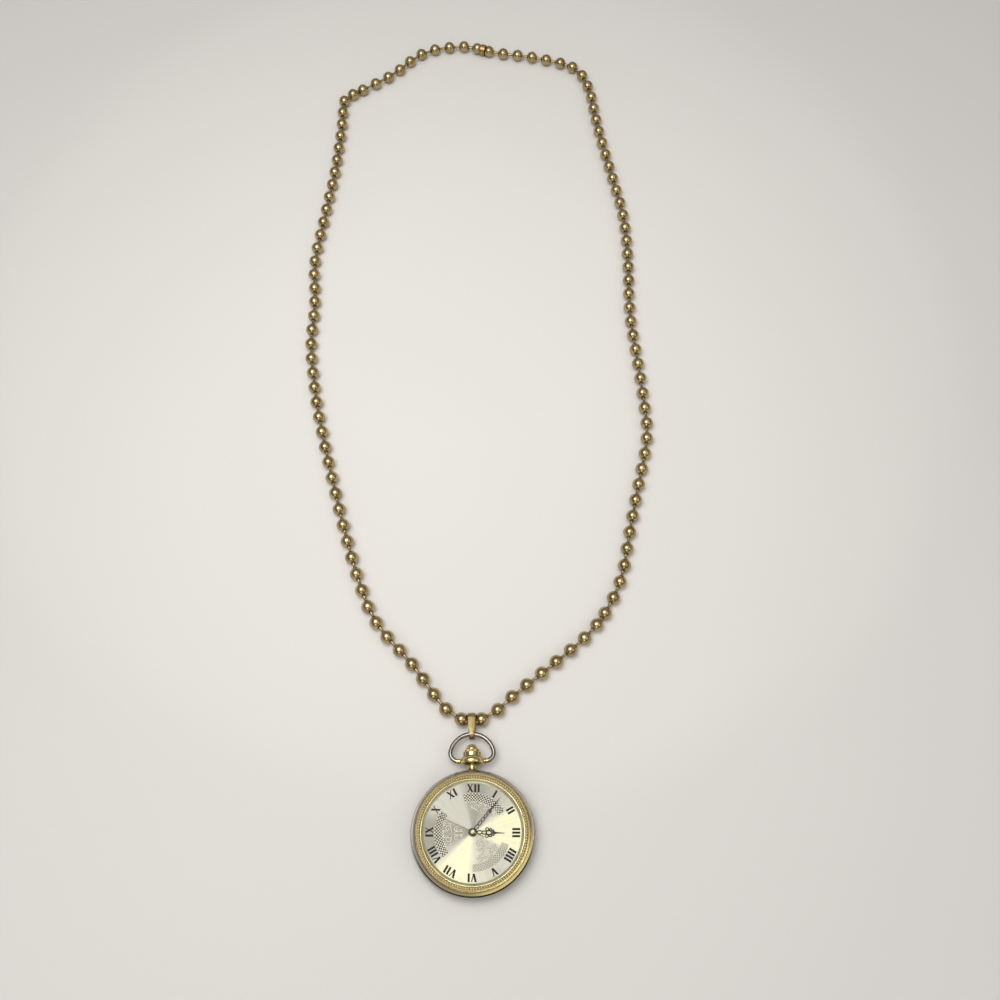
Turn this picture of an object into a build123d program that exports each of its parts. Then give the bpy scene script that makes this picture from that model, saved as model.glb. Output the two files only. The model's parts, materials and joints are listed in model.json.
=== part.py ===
from build123d import *
import math
import os

# Pendant watch on a ball chain, in millimetres. The origin is the centre of the case back's resting
# face, +Z goes up through the dial, and +Y points to twelve o'clock, along the pendant and the stem.

# The movement, and the holder and the case built round it
movement_radius = 12.0
holder_rim = 1.3
holder_wall = 1.0
case_wall = 2.5
case_foot_step = 0.8
case_shoulder_step = 0.45
case_widest_z = 3.3
case_shoulder_z = 5.7
case_bulge = 0.14
back_rim_step = 0.1
back_dome_width = 3.4
back_rim_height = 1.3
back_bulge = 0.3
back_wall = 0.5
plug_wall = 0.55
plug_height = 1.0
back_notch_width = 3.0
back_notch_depth = 0.3
seam = 0.05
collar_wall = 0.8
collar_height = 1.25
set_fit = 0.02
overrun = 1.0

ring_wall_radius = movement_radius + holder_rim
case_bore_radius = ring_wall_radius + holder_wall
case_radius = case_bore_radius + case_wall
case_low_radius = case_radius - case_foot_step
case_shoulder_radius = case_radius - case_shoulder_step
back_rim_radius = case_low_radius - back_rim_step
back_flat_radius = back_rim_radius - back_dome_width
collar_radius = case_bore_radius + collar_wall
z_collar = case_shoulder_z + collar_height

# Bezel and crystal
bezel_wall = 1.05
bezel_slope = 0.95
bezel_side = 0.38
bezel_height = 1.95
bezel_bulge = 0.24
bezel_lip = 1.2
bezel_land = 0.12
knurl_step = 0.45
knurl_width = 0.5
knurl_height = 0.18
groove_depth = 0.16
crystal_gap = 0.08
crystal_side_wall = 0.72
crystal_flange_step = 0.35
crystal_flange = 0.4
crystal_side_height = 1.1
crystal_rise = 0.9
crystal_wall = 0.9

bezel_radius = collar_radius + bezel_wall
bezel_top_radius = bezel_radius - bezel_slope
bezel_lip_radius = collar_radius - bezel_lip
knurl_outer_radius = bezel_top_radius - knurl_step
knurl_inner_radius = knurl_outer_radius - knurl_width
crystal_radius = bezel_lip_radius - crystal_gap
crystal_inner_radius = crystal_radius - crystal_side_wall
crystal_flange_radius = collar_radius - crystal_flange_step

# Dial and the polished ring round it
dial_ring_step = 0.15
dial_edge_gap = 0.6
dial_thick = 0.35
dial_hole_radius = 0.9
dial_foot_radius = 0.35
dial_foot_inset = 2.4
dial_foot_length = 1.5
dial_foot_angles = (20, 200)
flange_top_width = 0.55
flange_lip = 0.15
flange_bulge = 0.1

dial_view_radius = crystal_inner_radius - dial_ring_step
dial_radius = case_bore_radius - dial_edge_gap
dial_foot_place = movement_radius - dial_foot_inset
flange_top_radius = case_bore_radius - flange_top_width

# Movement: thickness of each layer and the gaps between them, from the back up to the dial
back_air = 0.45
barrel_bridge_thick = 0.55
train_bridge_thick = 0.55
wheel_gap = 0.08
layer_gap = 0.14
winding_wheel_thick = 0.3
train_wheel_thick = 0.16
drum_height = 1.02
balance_rim_height = 0.3
pallet_bridge_thick = 0.2
plate_thick = 1.1
plate_rim = 0.8
plate_rim_width = 0.8
motion_wheel_thick = 0.2
bridge_edge_gap = 0.4
ring_fit = 0.06
running_fit = 0.03
arbor_radius = 0.2
third_arbor_radius = 0.25
pivot_radius = 0.12
pivot_length = 0.22
jewel_radius = 0.38
jewel_thick = 0.26
foot_radius = 0.8
cock_foot_radius = 1.1
pallet_foot_radius = 0.6

bridge_radius = movement_radius - bridge_edge_gap
z_barrel_bridge = back_wall + back_air
z_winding = z_barrel_bridge + barrel_bridge_thick + wheel_gap
z_winding_top = z_winding + winding_wheel_thick
z_train_bridge = z_winding_top - train_bridge_thick
z_fourth = z_winding_top + layer_gap
z_fourth_top = z_fourth + train_wheel_thick
z_drum = z_fourth_top + layer_gap
z_drum_top = z_drum + drum_height
z_balance = z_fourth_top + layer_gap
z_balance_top = z_balance + balance_rim_height
z_third = z_balance_top + layer_gap
z_third_top = z_third + train_wheel_thick
z_pallet_bridge = z_balance_top + layer_gap
z_escape = z_pallet_bridge + pallet_bridge_thick + layer_gap
z_escape_top = z_escape + train_wheel_thick
z_centre = z_drum_top + layer_gap
z_centre_top = z_centre + train_wheel_thick
z_plate = z_centre_top + layer_gap
z_plate_top = z_plate + plate_thick
z_minute_wheel = z_plate_top + wheel_gap
z_minute_wheel_top = z_minute_wheel + motion_wheel_thick
z_hour_wheel = z_minute_wheel_top + wheel_gap
z_hour_wheel_top = z_hour_wheel + motion_wheel_thick
z_dial = z_plate_top + plate_rim
z_dial_top = z_dial + dial_thick

# Hands: thickness, reach from the centre, and degrees clockwise from twelve
hour_hand_thick = 0.12
minute_hand_thick = 0.1
second_hand_thick = 0.08
hour_hand_length = 8.45
minute_hand_length = 11.7
second_hand_length = 11.2
hour_hand_turn = 92.8
minute_hand_turn = 40.4
second_hand_turn = 294.9
hand_gap = 0.3
hand_step = 0.24
hour_hand_hub_radius = 1.15
minute_hand_hub_radius = 0.9
second_hand_hub_radius = 0.45
hand_needle_width = 0.34
hand_tip_width = 0.09
second_hand_width = 0.16
second_hand_tail = 3.4
z_hour_hand = z_dial_top + hand_gap
z_minute_hand = z_hour_hand + hour_hand_thick + hand_step
z_second_hand = z_minute_hand + minute_hand_thick + hand_step

# Going train
barrel_teeth = 72
centre_pinion_teeth = 12
centre_teeth = 64
third_pinion_teeth = 8
third_teeth = 60
fourth_pinion_teeth = 8
fourth_teeth = 80
escape_pinion_teeth = 8
escape_teeth = 15
barrel_pitch_radius = 5.22
barrel_tooth_height = 0.3
drum_radius = 5.0
third_distance = 5.4
fourth_pitch_radius = 4.85
escape_radius = 2.0
barrel_angle = 150.0
third_angle = -70.0
escape_angle = -8.0
hub_radius = 0.55
drum_wall = 0.25
drum_floor = 0.12
mainspring_turns = 8
mainspring_spare_turns = 0.5
mainspring_strip = 0.14
barrel_core_radius = 1.2
barrel_arbor_radius = 0.45
barrel_pivot_radius = 0.25
ratchet_square = 0.6

# Escapement and balance
balance_angle = 38.0
balance_distance = 7.8
balance_radius = 3.5
balance_rim_width = 0.35
balance_arm_width = 0.5
balance_seat_radius = 0.32
roller_radius = 0.75
hairspring_radius = 1.7
hairspring_turns = 7
hairspring_strip = 0.05
hairspring_height = 0.2
hairspring_drop = 0.06
fork_thick = 0.12
fork_gap = 0.04
fork_arm_width = 0.2
fork_lever_width = 0.26
fork_reach = 2.34
fork_horn = 0.55
pallet_arbor_radius = 0.16
stone_angle = 30.0
stone_length = 0.26
stone_width = 0.13
stone_gap = 0.2

# Motion work
cannon_teeth = 12
minute_wheel_teeth = 36
minute_pinion_teeth = 10
hour_wheel_teeth = 40
setting_wheel_teeth = 24
motion_distance = 2.64
minute_wheel_angle = 80.0
setting_wheel_angle = 88.0
setting_wheel_drop = 0.14
seconds_arbor_radius = 0.14
centre_bore_radius = 0.19
centre_tube_radius = 0.36
cannon_bore_radius = 0.385
cannon_tube_radius = 0.555
hour_bore_radius = 0.585
hour_tube_radius = 0.78
post_radius = 0.2

# Winding and setting work
crown_wheel_teeth = 26
ratchet_teeth = 39
winding_pinion_teeth = 14
winding_pinion_radius = 1.3
sliding_pinion_radius = 1.25
sliding_groove_radius = 0.8
sliding_groove_width = 0.3
stem_drop = 0.4
stem_radius = 0.6
stem_round_radius = 0.57
stem_square = 0.78
stem_pilot_radius = 0.3
stem_groove_radius = 0.28
stem_groove_width = 0.4
stem_groove_gap = 0.16
stem_pilot_y = 5.5
stem_pilot_length = 1.1
sliding_pinion_y = 7.2
sliding_pinion_length = 1.4
winding_pinion_length = 1.1
pinion_gap = 0.25
crown_travel = 0.7
clutch_travel = 0.4
slot_half_width = 1.55
slot_gap = 0.1
guide_thick = 0.6
guide_half_width = 0.55
bearing_half_width = 1.1
crown_wheel_head_radius = 0.8
crown_wheel_post_radius = 0.5
lever_thick = 0.16
lever_width = 0.7
yoke_width = 0.4
lever_post_radius = 0.25
lever_pin_radius = 0.09
lever_pin_reach = 0.25
lever_pin_fit = 0.05
keyless_cover_thick = 0.15
keyless_cover_width = 1.1
click_distance = 5.2
click_angle = 205.0
click_lean = 14.0
click_hub_radius = 0.6
click_beak_width = 0.35
click_thick = 0.22
click_gap = 0.06
click_spring_width = 0.14

# Screws and case clamps
bridge_screw_head = 0.55
bridge_screw_head_height = 0.2
bridge_screw_radius = 0.3
screw_thread = 0.7
small_screw_head = 0.42
small_screw_head_height = 0.14
small_screw_radius = 0.2
clamp_angles = (70, 190, 290)
clamp_width = 1.2
clamp_thick = 0.2
clamp_screw_inset = 0.9
clamp_end_gap = 0.5
clamp_screw_place = movement_radius - clamp_screw_inset
clamp_end_radius = ring_wall_radius - clamp_end_gap

# Pendant, crown, bow and bail, along the stem's line
neck_radius = 1.15
neck_flare = 0.55
neck_foot_step = 0.3
neck_flare_sink = 0.5
neck_flare_length = 0.95
neck_length = 1.25
pendant_radius = 3.35
pendant_rise = 0.5
pendant_widest_rise = 1.3
pendant_shoulder_rise = 2.45
pendant_dome_radius = 2.5
pendant_lip_height = 1.15
pendant_bulge = 0.16
pendant_bore_fit = 0.06
bow_wire_radius = 0.62
bow_half_width = 6.0
bow_height = 7.6
bow_corner_radius = 2.3
bow_pin_x = 1.9
bow_hole_fit = 0.05
bow_droop = 4.1
crown_gap = 0.08
crown_skirt_radius = 1.95
crown_skirt_height = 0.65
crown_knob_radius = 1.62
crown_knob_height = 1.55
crown_knob_dome = 0.8
crown_flutes = 28
crown_flute_radius = 0.12
crown_stem_depth = 1.4
bail_strap = 0.42
bail_wide = 2.1
bail_narrow = 1.45
bail_chain_radius = 1.9
bail_bow_radius = 1.5
bail_shoulder = 2.4
bail_taper = 1.5
bail_reach = 11.85

neck_foot_y = case_bore_radius + neck_foot_step
neck_flare_y = case_radius - neck_flare_sink
pendant_base_y = case_radius + neck_length
pendant_widest_y = pendant_base_y + pendant_widest_rise
pendant_shoulder_y = pendant_base_y + pendant_shoulder_rise
pendant_top_y = pendant_shoulder_y + pendant_lip_height
bail_y = pendant_widest_y + bail_reach

# Ball chain: hollow beads on dumbbell links, laid in one loop on the table
bead_radius = 2.0
bead_wall = 0.35
bead_hole_radius = 0.58
bead_pitch = 5.5
bead_count = 112
link_radius = 0.45
link_head_radius = 0.75
link_head_length = 0.35
link_reach = 1.15
clasp_radius = 1.96
clasp_wall = 0.3
clasp_length = 1.7
clasp_lip = 0.2
clasp_web = 0.25
clasp_mouth = 1.0
clasp_fit = 0.05

# Where two beads stand closer than the pitch: the gap's number and its share of the pitch. The right
# half of the loop, up to the clasp, lies a little slack.
tight_gap_shares = {8: 0.79, 49: 0.90, 55: 0.83, 56: 0.93, 65: 0.75, 66: 0.82}
beads_before_clasp_count = 56
right_gap_share = 0.991

# The chain's route over the table, from the bail up the right side and back down the left. The
# places are measured from the point where the bail holds the chain.
chain_route = [
    (0.0, 0.0), (4.6, 0.0), (11.6, 6.4), (25.2, 16.7), (36.8, 26.2),
    (44.8, 39.8), (48.0, 54.8), (52.5, 73.3), (56.6, 88.8), (55.3, 114.8),
    (53.6, 133.8), (54.8, 154.8), (54.8, 173.8), (51.5, 192.8), (47.8, 214.8),
    (46.0, 233.3), (42.0, 243.8), (27.5, 249.0), (11.0, 251.8), (0.5, 255.8),
    (-15.5, 253.3), (-26.0, 241.6), (-38.5, 233.8), (-44.3, 230.3),
    (-44.3, 217.8), (-46.0, 195.8), (-48.6, 178.3), (-51.8, 156.8),
    (-50.3, 140.8), (-51.4, 125.3), (-48.6, 103.8), (-44.0, 83.3),
    (-38.5, 60.8), (-33.2, 42.3), (-28.0, 28.8), (-16.6, 16.3),
    (-10.8, 7.4), (-4.8, 0.2), (-0.1, 0.0),
]

# Outlines and places on the movement, as shares of its radius
barrel_bridge_shares = (
    (0.27, 1.08), (0.12, 0.38), (-0.20, 0.05), (-0.275, -0.10), (-0.49, -0.55),
    (-0.63, -0.68), (-0.66, -1.08), (-1.08, -1.08), (-1.08, 1.08),
)
train_bridge_shares = (
    (-0.108, 0.096), (0.125, 0.113), (0.558, 0.037), (0.583, -0.108), (1.0, -0.26),
    (1.0, -1.08), (-0.575, -1.08), (-0.575, -0.76), (-0.45, -0.665), (-0.167, -0.108),
)
barrel_feet_shares = ((-0.275, 0.825), (-0.708, -0.5))
train_feet_shares = ((-0.467, -0.767), (0.723, -0.507))
cock_foot_share = (0.867, 0.017)
pallet_foot_share = (0.683, -0.083)
lever_pivot_share = -0.25
yoke_pivot_share = 0.452
keyless_cover_feet_shares = ((-0.367, 0.775), (0.585, 0.62))
click_post_share = (-0.85, -0.30)
bridge_corner_share = 0.04

# Pierced hands, as shares of each hand's length: places and radii of their rings
hour_hand_rings_shares = ((0.21, 0.062, 0.036), (0.34, 0.072, 0.044), (0.50, 0.085, 0.055))
hour_hand_sides_shares = ((0.42, 0.09, 0.045, 0.022), (0.585, 0.082, 0.045, 0.022))
hour_hand_needle_share = 0.58
minute_hand_rings_shares = ((0.13, 0.040, 0.022), (0.21, 0.036, 0.020), (0.29, 0.040, 0.023),
                            (0.37, 0.034, 0.018), (0.45, 0.030, 0.014))
minute_hand_sides_shares = ((0.50, 0.026, 0.018, 0.008),)
minute_hand_needle_share = 0.47

BASE = (Align.CENTER, Align.CENTER, Align.MIN)
ABOUT_Y = Rot(-90, 0, 0)


# Points and plain shapes
def polar(radius, degrees, start=(0, 0)):
    """Point at a radius and an angle from a start, in the XY plane."""
    turn = math.radians(degrees)
    return (start[0] + radius * math.cos(turn), start[1] + radius * math.sin(turn))


def angle_between(start, end):
    """Direction from one point to another, in degrees from +X."""
    return math.degrees(math.atan2(end[1] - start[1], end[0] - start[0]))


def distance_between(start, end):
    return math.hypot(end[0] - start[0], end[1] - start[1])


def towards(start, end, distance):
    """Point at a distance from start on the way to end."""
    return polar(distance, angle_between(start, end), start)


def on_movement(share):
    """Place on the movement from its shares of the movement's radius."""
    return (share[0] * movement_radius, share[1] * movement_radius)


def rod(radius, low, high, at=(0, 0)):
    """Round bar along Z between two heights."""
    return Pos(at[0], at[1], low) * Cylinder(radius, high - low, align=BASE)


def ring(outer, inner, low, high, at=(0, 0)):
    return rod(outer, low, high, at) - rod(inner, low - overrun, high + overrun, at)


def block(x0, x1, y0, y1, z0, z1):
    """Box between two corners."""
    return Pos((x0 + x1) / 2, (y0 + y1) / 2, (z0 + z1) / 2) * Box(x1 - x0, y1 - y0, z1 - z0)


def arc_to(start, end, rise):
    """Arc whose middle stands off the straight line by rise, to the right of the way."""
    run = distance_between(start, end)
    across = (end[0] - start[0]) / run
    along = (end[1] - start[1]) / run
    middle = ((start[0] + end[0]) / 2 + rise * along, (start[1] + end[1]) / 2 - rise * across)
    return ThreePointArc(start, middle, end)


def dome_rise(radius, height):
    """Rise of the arc from a dome's edge to its top, level at the top."""
    ball = (radius ** 2 + height ** 2) / (2 * height)
    return ball - math.sqrt(ball ** 2 - (radius ** 2 + height ** 2) / 4)


def outline(start, *steps):
    """Closed face. A step is a point, for a straight side, or a point and a rise, for an arc."""
    edges = []
    here = start
    for step in steps:
        if isinstance(step[0], tuple):
            there, rise = step
            edges.append(arc_to(here, there, rise))
        else:
            there = step
            edges.append(Line(here, there))
        here = there
    edges.append(Line(here, start))
    return make_face(edges)


def turned(face):
    """Turn a face drawn in radius and height about the Z axis."""
    return revolve(Plane.XZ * face, Axis.Z)


def along_stem(shape):
    """Put a piece that was made along Z on the stem's line: its height becomes its place in Y."""
    return Pos(0, 0, z_stem) * ABOUT_Y * shape


def plate(face, low, high):
    """Flat piece between two heights."""
    return Pos(0, 0, low) * extrude(face, amount=high - low)


def bar(start, end, width):
    """Flat bar with round ends between two points."""
    middle = ((start[0] + end[0]) / 2, (start[1] + end[1]) / 2)
    spine = distance_between(start, end)
    return Pos(*middle) * Rot(0, 0, angle_between(start, end)) * SlotCenterToCenter(spine, width)


def disc(radius, at=(0, 0)):
    return Pos(*at) * Circle(radius)


def spiral_face(inner, pitch, half_turns, strip):
    """Flat spiral strip of half circles, from its inner end at +X."""
    half = strip / 2
    radii = [inner + turn * pitch / 2 for turn in range(half_turns)]
    ends = [-radii[turn] if turn % 2 == 0 else radii[turn] + pitch / 2 for turn in range(half_turns)]
    outward = []
    for turn in range(half_turns):
        side = math.copysign(half, ends[turn])
        outward.append(((ends[turn] + side, 0.0), radii[turn] + half))
    last_side = math.copysign(half, ends[-1])
    inward = [(ends[-1] - last_side, 0.0)]
    for turn in reversed(range(half_turns)):
        there = ends[turn - 1] if turn > 0 else inner
        side = math.copysign(half, there)
        inward.append(((there - side, 0.0), half - radii[turn]))
    return outline((inner + half, 0.0), *outward, *inward)


# Gears
def tooth_pitch(teeth):
    return 360.0 / teeth


def gear_module(teeth, pitch_radius):
    return 2 * pitch_radius / teeth


def gear_face(teeth, pitch_radius, phase=0.0, at=(0, 0)):
    """Toothed disc with flat-sided teeth. Phase is the angle of one tooth's middle."""
    addendum_share = 0.85
    dedendum_share = 1.2
    root_half_share = 0.30
    tip_half_share = 0.12
    root = pitch_radius - dedendum_share * gear_module(teeth, pitch_radius)
    tip = pitch_radius + addendum_share * gear_module(teeth, pitch_radius)
    pitch = tooth_pitch(teeth)
    points = []
    for tooth in range(teeth):
        middle = phase + tooth * pitch
        points.append(polar(root, middle - root_half_share * pitch, at))
        points.append(polar(tip, middle - tip_half_share * pitch, at))
        points.append(polar(tip, middle + tip_half_share * pitch, at))
        points.append(polar(root, middle + root_half_share * pitch, at))
    return make_face(Polyline(*points, close=True))


def meshed_phase(line_angle, teeth, phase, mate_teeth):
    """Phase of the mate whose gap takes the first gear's tooth, on the line from it to the mate."""
    gap_middle_share = 0.5
    offset = ((line_angle - phase) / tooth_pitch(teeth)) % 1.0
    return line_angle + 180.0 - tooth_pitch(mate_teeth) * (gap_middle_share - offset)


def spoked_gear(teeth, pitch_radius, hub, low, high, phase=0.0, at=(0, 0), arms=4):
    """Wheel with a hub, arms and a toothed rim."""
    rim_share = 3.2
    arm_share = 0.6
    module = gear_module(teeth, pitch_radius)
    rim = pitch_radius - rim_share * module
    windows = disc(rim, at) - disc(hub, at)
    for arm in range(arms):
        windows -= bar(at, polar(rim + module, arm * 360.0 / arms, at), arm_share * hub)
    return plate(gear_face(teeth, pitch_radius, phase, at) - windows, low, high)


def arbor(radius, low, high, at=(0, 0)):
    """Arbor with a pivot at each end that runs in a jewel."""
    return (rod(radius, low, high, at)
            + rod(pivot_radius, low - pivot_length, high + pivot_length, at))


# Places of the train, worked out from the tooth numbers
centre = (0.0, 0.0)
barrel_module = gear_module(barrel_teeth, barrel_pitch_radius)
centre_pinion_radius = barrel_module * centre_pinion_teeth / 2
barrel_centre = polar(barrel_pitch_radius + centre_pinion_radius, barrel_angle)
third_centre = polar(third_distance, third_angle)
centre_radius = third_distance * centre_teeth / (centre_teeth + third_pinion_teeth)
third_pinion_radius = third_distance - centre_radius
third_radius = third_distance * third_teeth / (third_teeth + fourth_pinion_teeth)
fourth_pinion_radius = third_distance - third_radius
escape_pinion_radius = fourth_pitch_radius * escape_pinion_teeth / fourth_teeth
escape_centre = polar(fourth_pitch_radius + escape_pinion_radius, escape_angle)
balance_centre = polar(balance_distance, balance_angle)
pallet_distance = escape_radius / math.cos(math.radians(stone_angle))
pallet_centre = towards(escape_centre, balance_centre, pallet_distance)
cannon_radius = motion_distance * cannon_teeth / (cannon_teeth + minute_wheel_teeth)
minute_wheel_radius = motion_distance - cannon_radius
hour_wheel_radius = motion_distance * hour_wheel_teeth / (hour_wheel_teeth + minute_pinion_teeth)
minute_pinion_radius = motion_distance - hour_wheel_radius
minute_wheel_centre = polar(motion_distance, minute_wheel_angle)
setting_wheel_radius = minute_wheel_radius * setting_wheel_teeth / minute_wheel_teeth
setting_wheel_centre = polar(minute_wheel_radius + setting_wheel_radius, setting_wheel_angle,
                             minute_wheel_centre)

# Places along the stem
z_stem = z_plate - stem_drop
sliding_pinion_end_y = sliding_pinion_y + sliding_pinion_length
winding_pinion_y = sliding_pinion_end_y + pinion_gap
winding_pinion_end_y = winding_pinion_y + winding_pinion_length
winding_pinion_middle_y = winding_pinion_y + winding_pinion_length / 2
stem_groove_y = winding_pinion_end_y + stem_groove_gap
stem_groove_end_y = stem_groove_y + stem_groove_width
stem_square_y = stem_pilot_y + stem_pilot_length
sliding_groove_y = sliding_pinion_y + (sliding_pinion_length + sliding_groove_width / 2) / 2
crown_base_y = pendant_top_y + crown_gap


def solve_crown_wheel():
    """Radius of the crown wheel: its rim lies under the middle of the winding pinion, and it meets
    the ratchet wheel, which stands round the barrel's arbor."""
    across = barrel_centre[0]
    along = winding_pinion_middle_y - barrel_centre[1]
    square = (1 + ratchet_teeth / crown_wheel_teeth) ** 2 - 1
    root = math.sqrt(along ** 2 + square * (across ** 2 + along ** 2))
    return (root - along) / square


crown_wheel_radius = solve_crown_wheel()
ratchet_radius = crown_wheel_radius * ratchet_teeth / crown_wheel_teeth
crown_wheel_centre = (0.0, winding_pinion_middle_y - crown_wheel_radius)

# Feet of the bridges
barrel_feet = [on_movement(share) for share in barrel_feet_shares]
train_feet = [on_movement(share) for share in train_feet_shares]
cock_foot = on_movement(cock_foot_share)
pallet_foot = on_movement(pallet_foot_share)
keyless_cover_feet = [on_movement(share) for share in keyless_cover_feet_shares]
click_pivot = polar(click_distance, click_angle, barrel_centre)
click_post = on_movement(click_post_share)

# Pins of the setting lever and the yoke. Each pivot is level with the middle of its pin's travel.
lever_pin = (-(stem_groove_radius + lever_pin_radius + lever_pin_fit),
             (stem_groove_y + stem_groove_end_y) / 2)
lever_pivot = (lever_pivot_share * movement_radius, lever_pin[1] + crown_travel / 2)
yoke_pin = (sliding_groove_radius + lever_pin_radius + lever_pin_fit,
            sliding_groove_y + sliding_groove_width / 2)
yoke_pivot = (yoke_pivot_share * movement_radius, yoke_pin[1] - clutch_travel / 2)
z_lever = z_plate_top + wheel_gap
z_keyless_cover = z_lever + lever_thick + wheel_gap


# Case
def make_case_middle():
    low = back_rim_height + seam
    face = outline(
        (case_bore_radius, low),
        (case_low_radius, low),
        ((case_radius, case_widest_z), case_bulge),
        ((case_shoulder_radius, case_shoulder_z), case_bulge),
        (collar_radius, case_shoulder_z),
        (collar_radius, z_collar),
        (case_bore_radius, z_collar),
    )
    shank_hole = rod(neck_radius + set_fit, case_bore_radius - overrun, case_radius + overrun)
    return turned(face) - along_stem(shank_hole)


def make_case_back():
    plug_radius = case_bore_radius - seam
    plug_top = back_rim_height + plug_height
    face = outline(
        (0.0, 0.0),
        (back_flat_radius, 0.0),
        ((back_rim_radius, back_rim_height), back_bulge),
        (plug_radius, back_rim_height),
        (plug_radius, plug_top),
        (plug_radius - plug_wall, plug_top),
        (plug_radius - plug_wall, back_rim_height - seam),
        ((back_flat_radius, back_wall), -back_bulge / 2),
        (0.0, back_wall),
    )
    notch = block(-back_notch_width / 2, back_notch_width / 2,
                  -back_rim_radius - overrun, -back_rim_radius + 2 * back_notch_depth,
                  back_rim_height - back_notch_depth, back_rim_height + overrun)
    return turned(face) - notch


def make_bezel():
    low = case_shoulder_z + seam
    crest = low + bezel_height
    floor = crest - groove_depth
    seat = z_collar + crystal_flange + set_fit
    bore = collar_radius + set_fit
    face = outline(
        (bore, low),
        (bezel_radius, low),
        (bezel_radius, low + bezel_side),
        ((bezel_top_radius, crest), bezel_bulge),
        (bezel_top_radius - bezel_land, floor),
        (knurl_outer_radius, floor),
        (knurl_outer_radius, crest),
        ((knurl_inner_radius, crest), knurl_height),
        (knurl_inner_radius, floor),
        (bezel_lip_radius, floor),
        (bezel_lip_radius, seat),
        (crystal_flange_radius + set_fit, seat),
        (crystal_flange_radius + set_fit, z_collar + set_fit),
        (bore, z_collar + set_fit),
    )
    return turned(face)


def make_crystal():
    side_top = z_collar + crystal_side_height
    apex = side_top + crystal_rise
    inner_apex = apex - crystal_wall
    face = outline(
        (crystal_inner_radius, z_collar),
        (crystal_flange_radius, z_collar),
        (crystal_flange_radius, z_collar + crystal_flange),
        (crystal_radius, z_collar + crystal_flange),
        (crystal_radius, side_top),
        ((0.0, apex), dome_rise(crystal_radius, crystal_rise)),
        (0.0, inner_apex),
        ((crystal_inner_radius, inner_apex - crystal_rise),
         -dome_rise(crystal_inner_radius, crystal_rise)),
    )
    return turned(face)


def make_dial_flange():
    outer = case_bore_radius - seam
    top = z_collar - set_fit
    face = outline(
        (dial_view_radius, z_dial_top),
        (outer, z_dial_top),
        (outer, top),
        (flange_top_radius, top),
        ((dial_view_radius, z_dial_top + flange_lip), -flange_bulge),
    )
    return turned(face)


def make_dial():
    dial = ring(dial_radius, dial_hole_radius, z_dial, z_dial_top)
    for angle in dial_foot_angles:
        place = polar(dial_foot_place, angle)
        dial += rod(dial_foot_radius, z_dial - dial_foot_length, z_dial, place)
    return dial


def make_movement_ring():
    """Ring that carries the movement in the case, with a ledge for the clamps."""
    low = back_rim_height + plug_height + seam
    inner = movement_radius + ring_fit
    outer = case_bore_radius - seam
    face = outline(
        (ring_wall_radius, low),
        (outer, low),
        (outer, z_dial),
        (inner, z_dial),
        (inner, z_plate),
        (ring_wall_radius, z_plate),
    )
    stem_hole = rod(neck_radius + set_fit, movement_radius - overrun, case_radius)
    return turned(face) - along_stem(stem_hole)


# Plates and bridges
def through_hole(radius, low, high, at=(0, 0)):
    return rod(radius, low - overrun, high + overrun, at)


def jewel_places():
    """Each jewel: its place and its lower and upper face."""
    train_top = z_train_bridge + train_bridge_thick
    places = []
    for place in (third_centre, escape_centre, pallet_centre, balance_centre):
        places.append((place, z_plate, z_plate + jewel_thick))
    for place in (centre, third_centre, escape_centre, balance_centre):
        places.append((place, train_top - jewel_thick, train_top))
    places.append((pallet_centre, z_pallet_bridge, z_pallet_bridge + pallet_bridge_thick))
    return places


def make_jewels():
    """Ring jewels, pressed in the plate, the train bridge, the cock and the pallet bridge."""
    hole = pivot_radius + running_fit
    return [ring(jewel_radius, hole, low, high, place) for place, low, high in jewel_places()]


def make_mainplate():
    body = rod(movement_radius, z_plate, z_plate_top)
    body += ring(movement_radius, movement_radius - plate_rim_width, z_plate_top, z_dial)
    body += stem_guides()
    body -= stem_room()
    pocket_radius = setting_wheel_radius + 2 * gear_module(setting_wheel_teeth, setting_wheel_radius)
    body -= rod(pocket_radius, z_plate_top - setting_wheel_drop, z_plate_top + overrun,
                setting_wheel_centre)
    body -= through_hole(centre_tube_radius + running_fit, z_plate, z_plate_top)
    blind_top = z_plate + plate_thick / 2
    body -= rod(barrel_pivot_radius + running_fit, z_plate - overrun, blind_top, barrel_centre)
    for place in (third_centre, escape_centre, pallet_centre, balance_centre):
        body -= rod(jewel_radius + set_fit, z_plate - overrun, z_plate + jewel_thick, place)
        body -= rod(pivot_radius + running_fit, z_plate, blind_top, place)
    screw_top = z_plate + screw_thread + seam
    for place, seat, head, height, shank in bridge_screw_table():
        body -= rod(shank + set_fit, z_plate - overrun, screw_top, place)
    for angle in clamp_angles:
        body -= rod(small_screw_radius + set_fit, z_plate - overrun, screw_top,
                    polar(clamp_screw_place, angle))
    for angle in dial_foot_angles:
        body -= rod(dial_foot_radius + set_fit, z_dial - dial_foot_length - seam,
                    z_plate_top + overrun, polar(dial_foot_place, angle))
    return body + dial_side_posts()


def stem_room():
    """Slot for the pinions, bores for the stem, and the notch in the rim for the setting lever."""
    slot_start = stem_square_y + set_fit
    slot_end = movement_radius - plate_rim_width
    room = block(-slot_half_width, slot_half_width, slot_start, slot_end,
                 z_plate - overrun, z_plate_top + overrun)
    room += along_stem(rod(stem_radius + running_fit, slot_end - set_fit,
                           movement_radius + overrun))
    room += along_stem(rod(stem_pilot_radius + running_fit, stem_pilot_y, slot_start + set_fit))
    room += block(lever_pivot[0] - 2 * lever_width, slot_half_width,
                  lever_pivot[1] - 2 * lever_width, movement_radius + overrun,
                  z_plate_top, z_dial + overrun)
    return room


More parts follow.
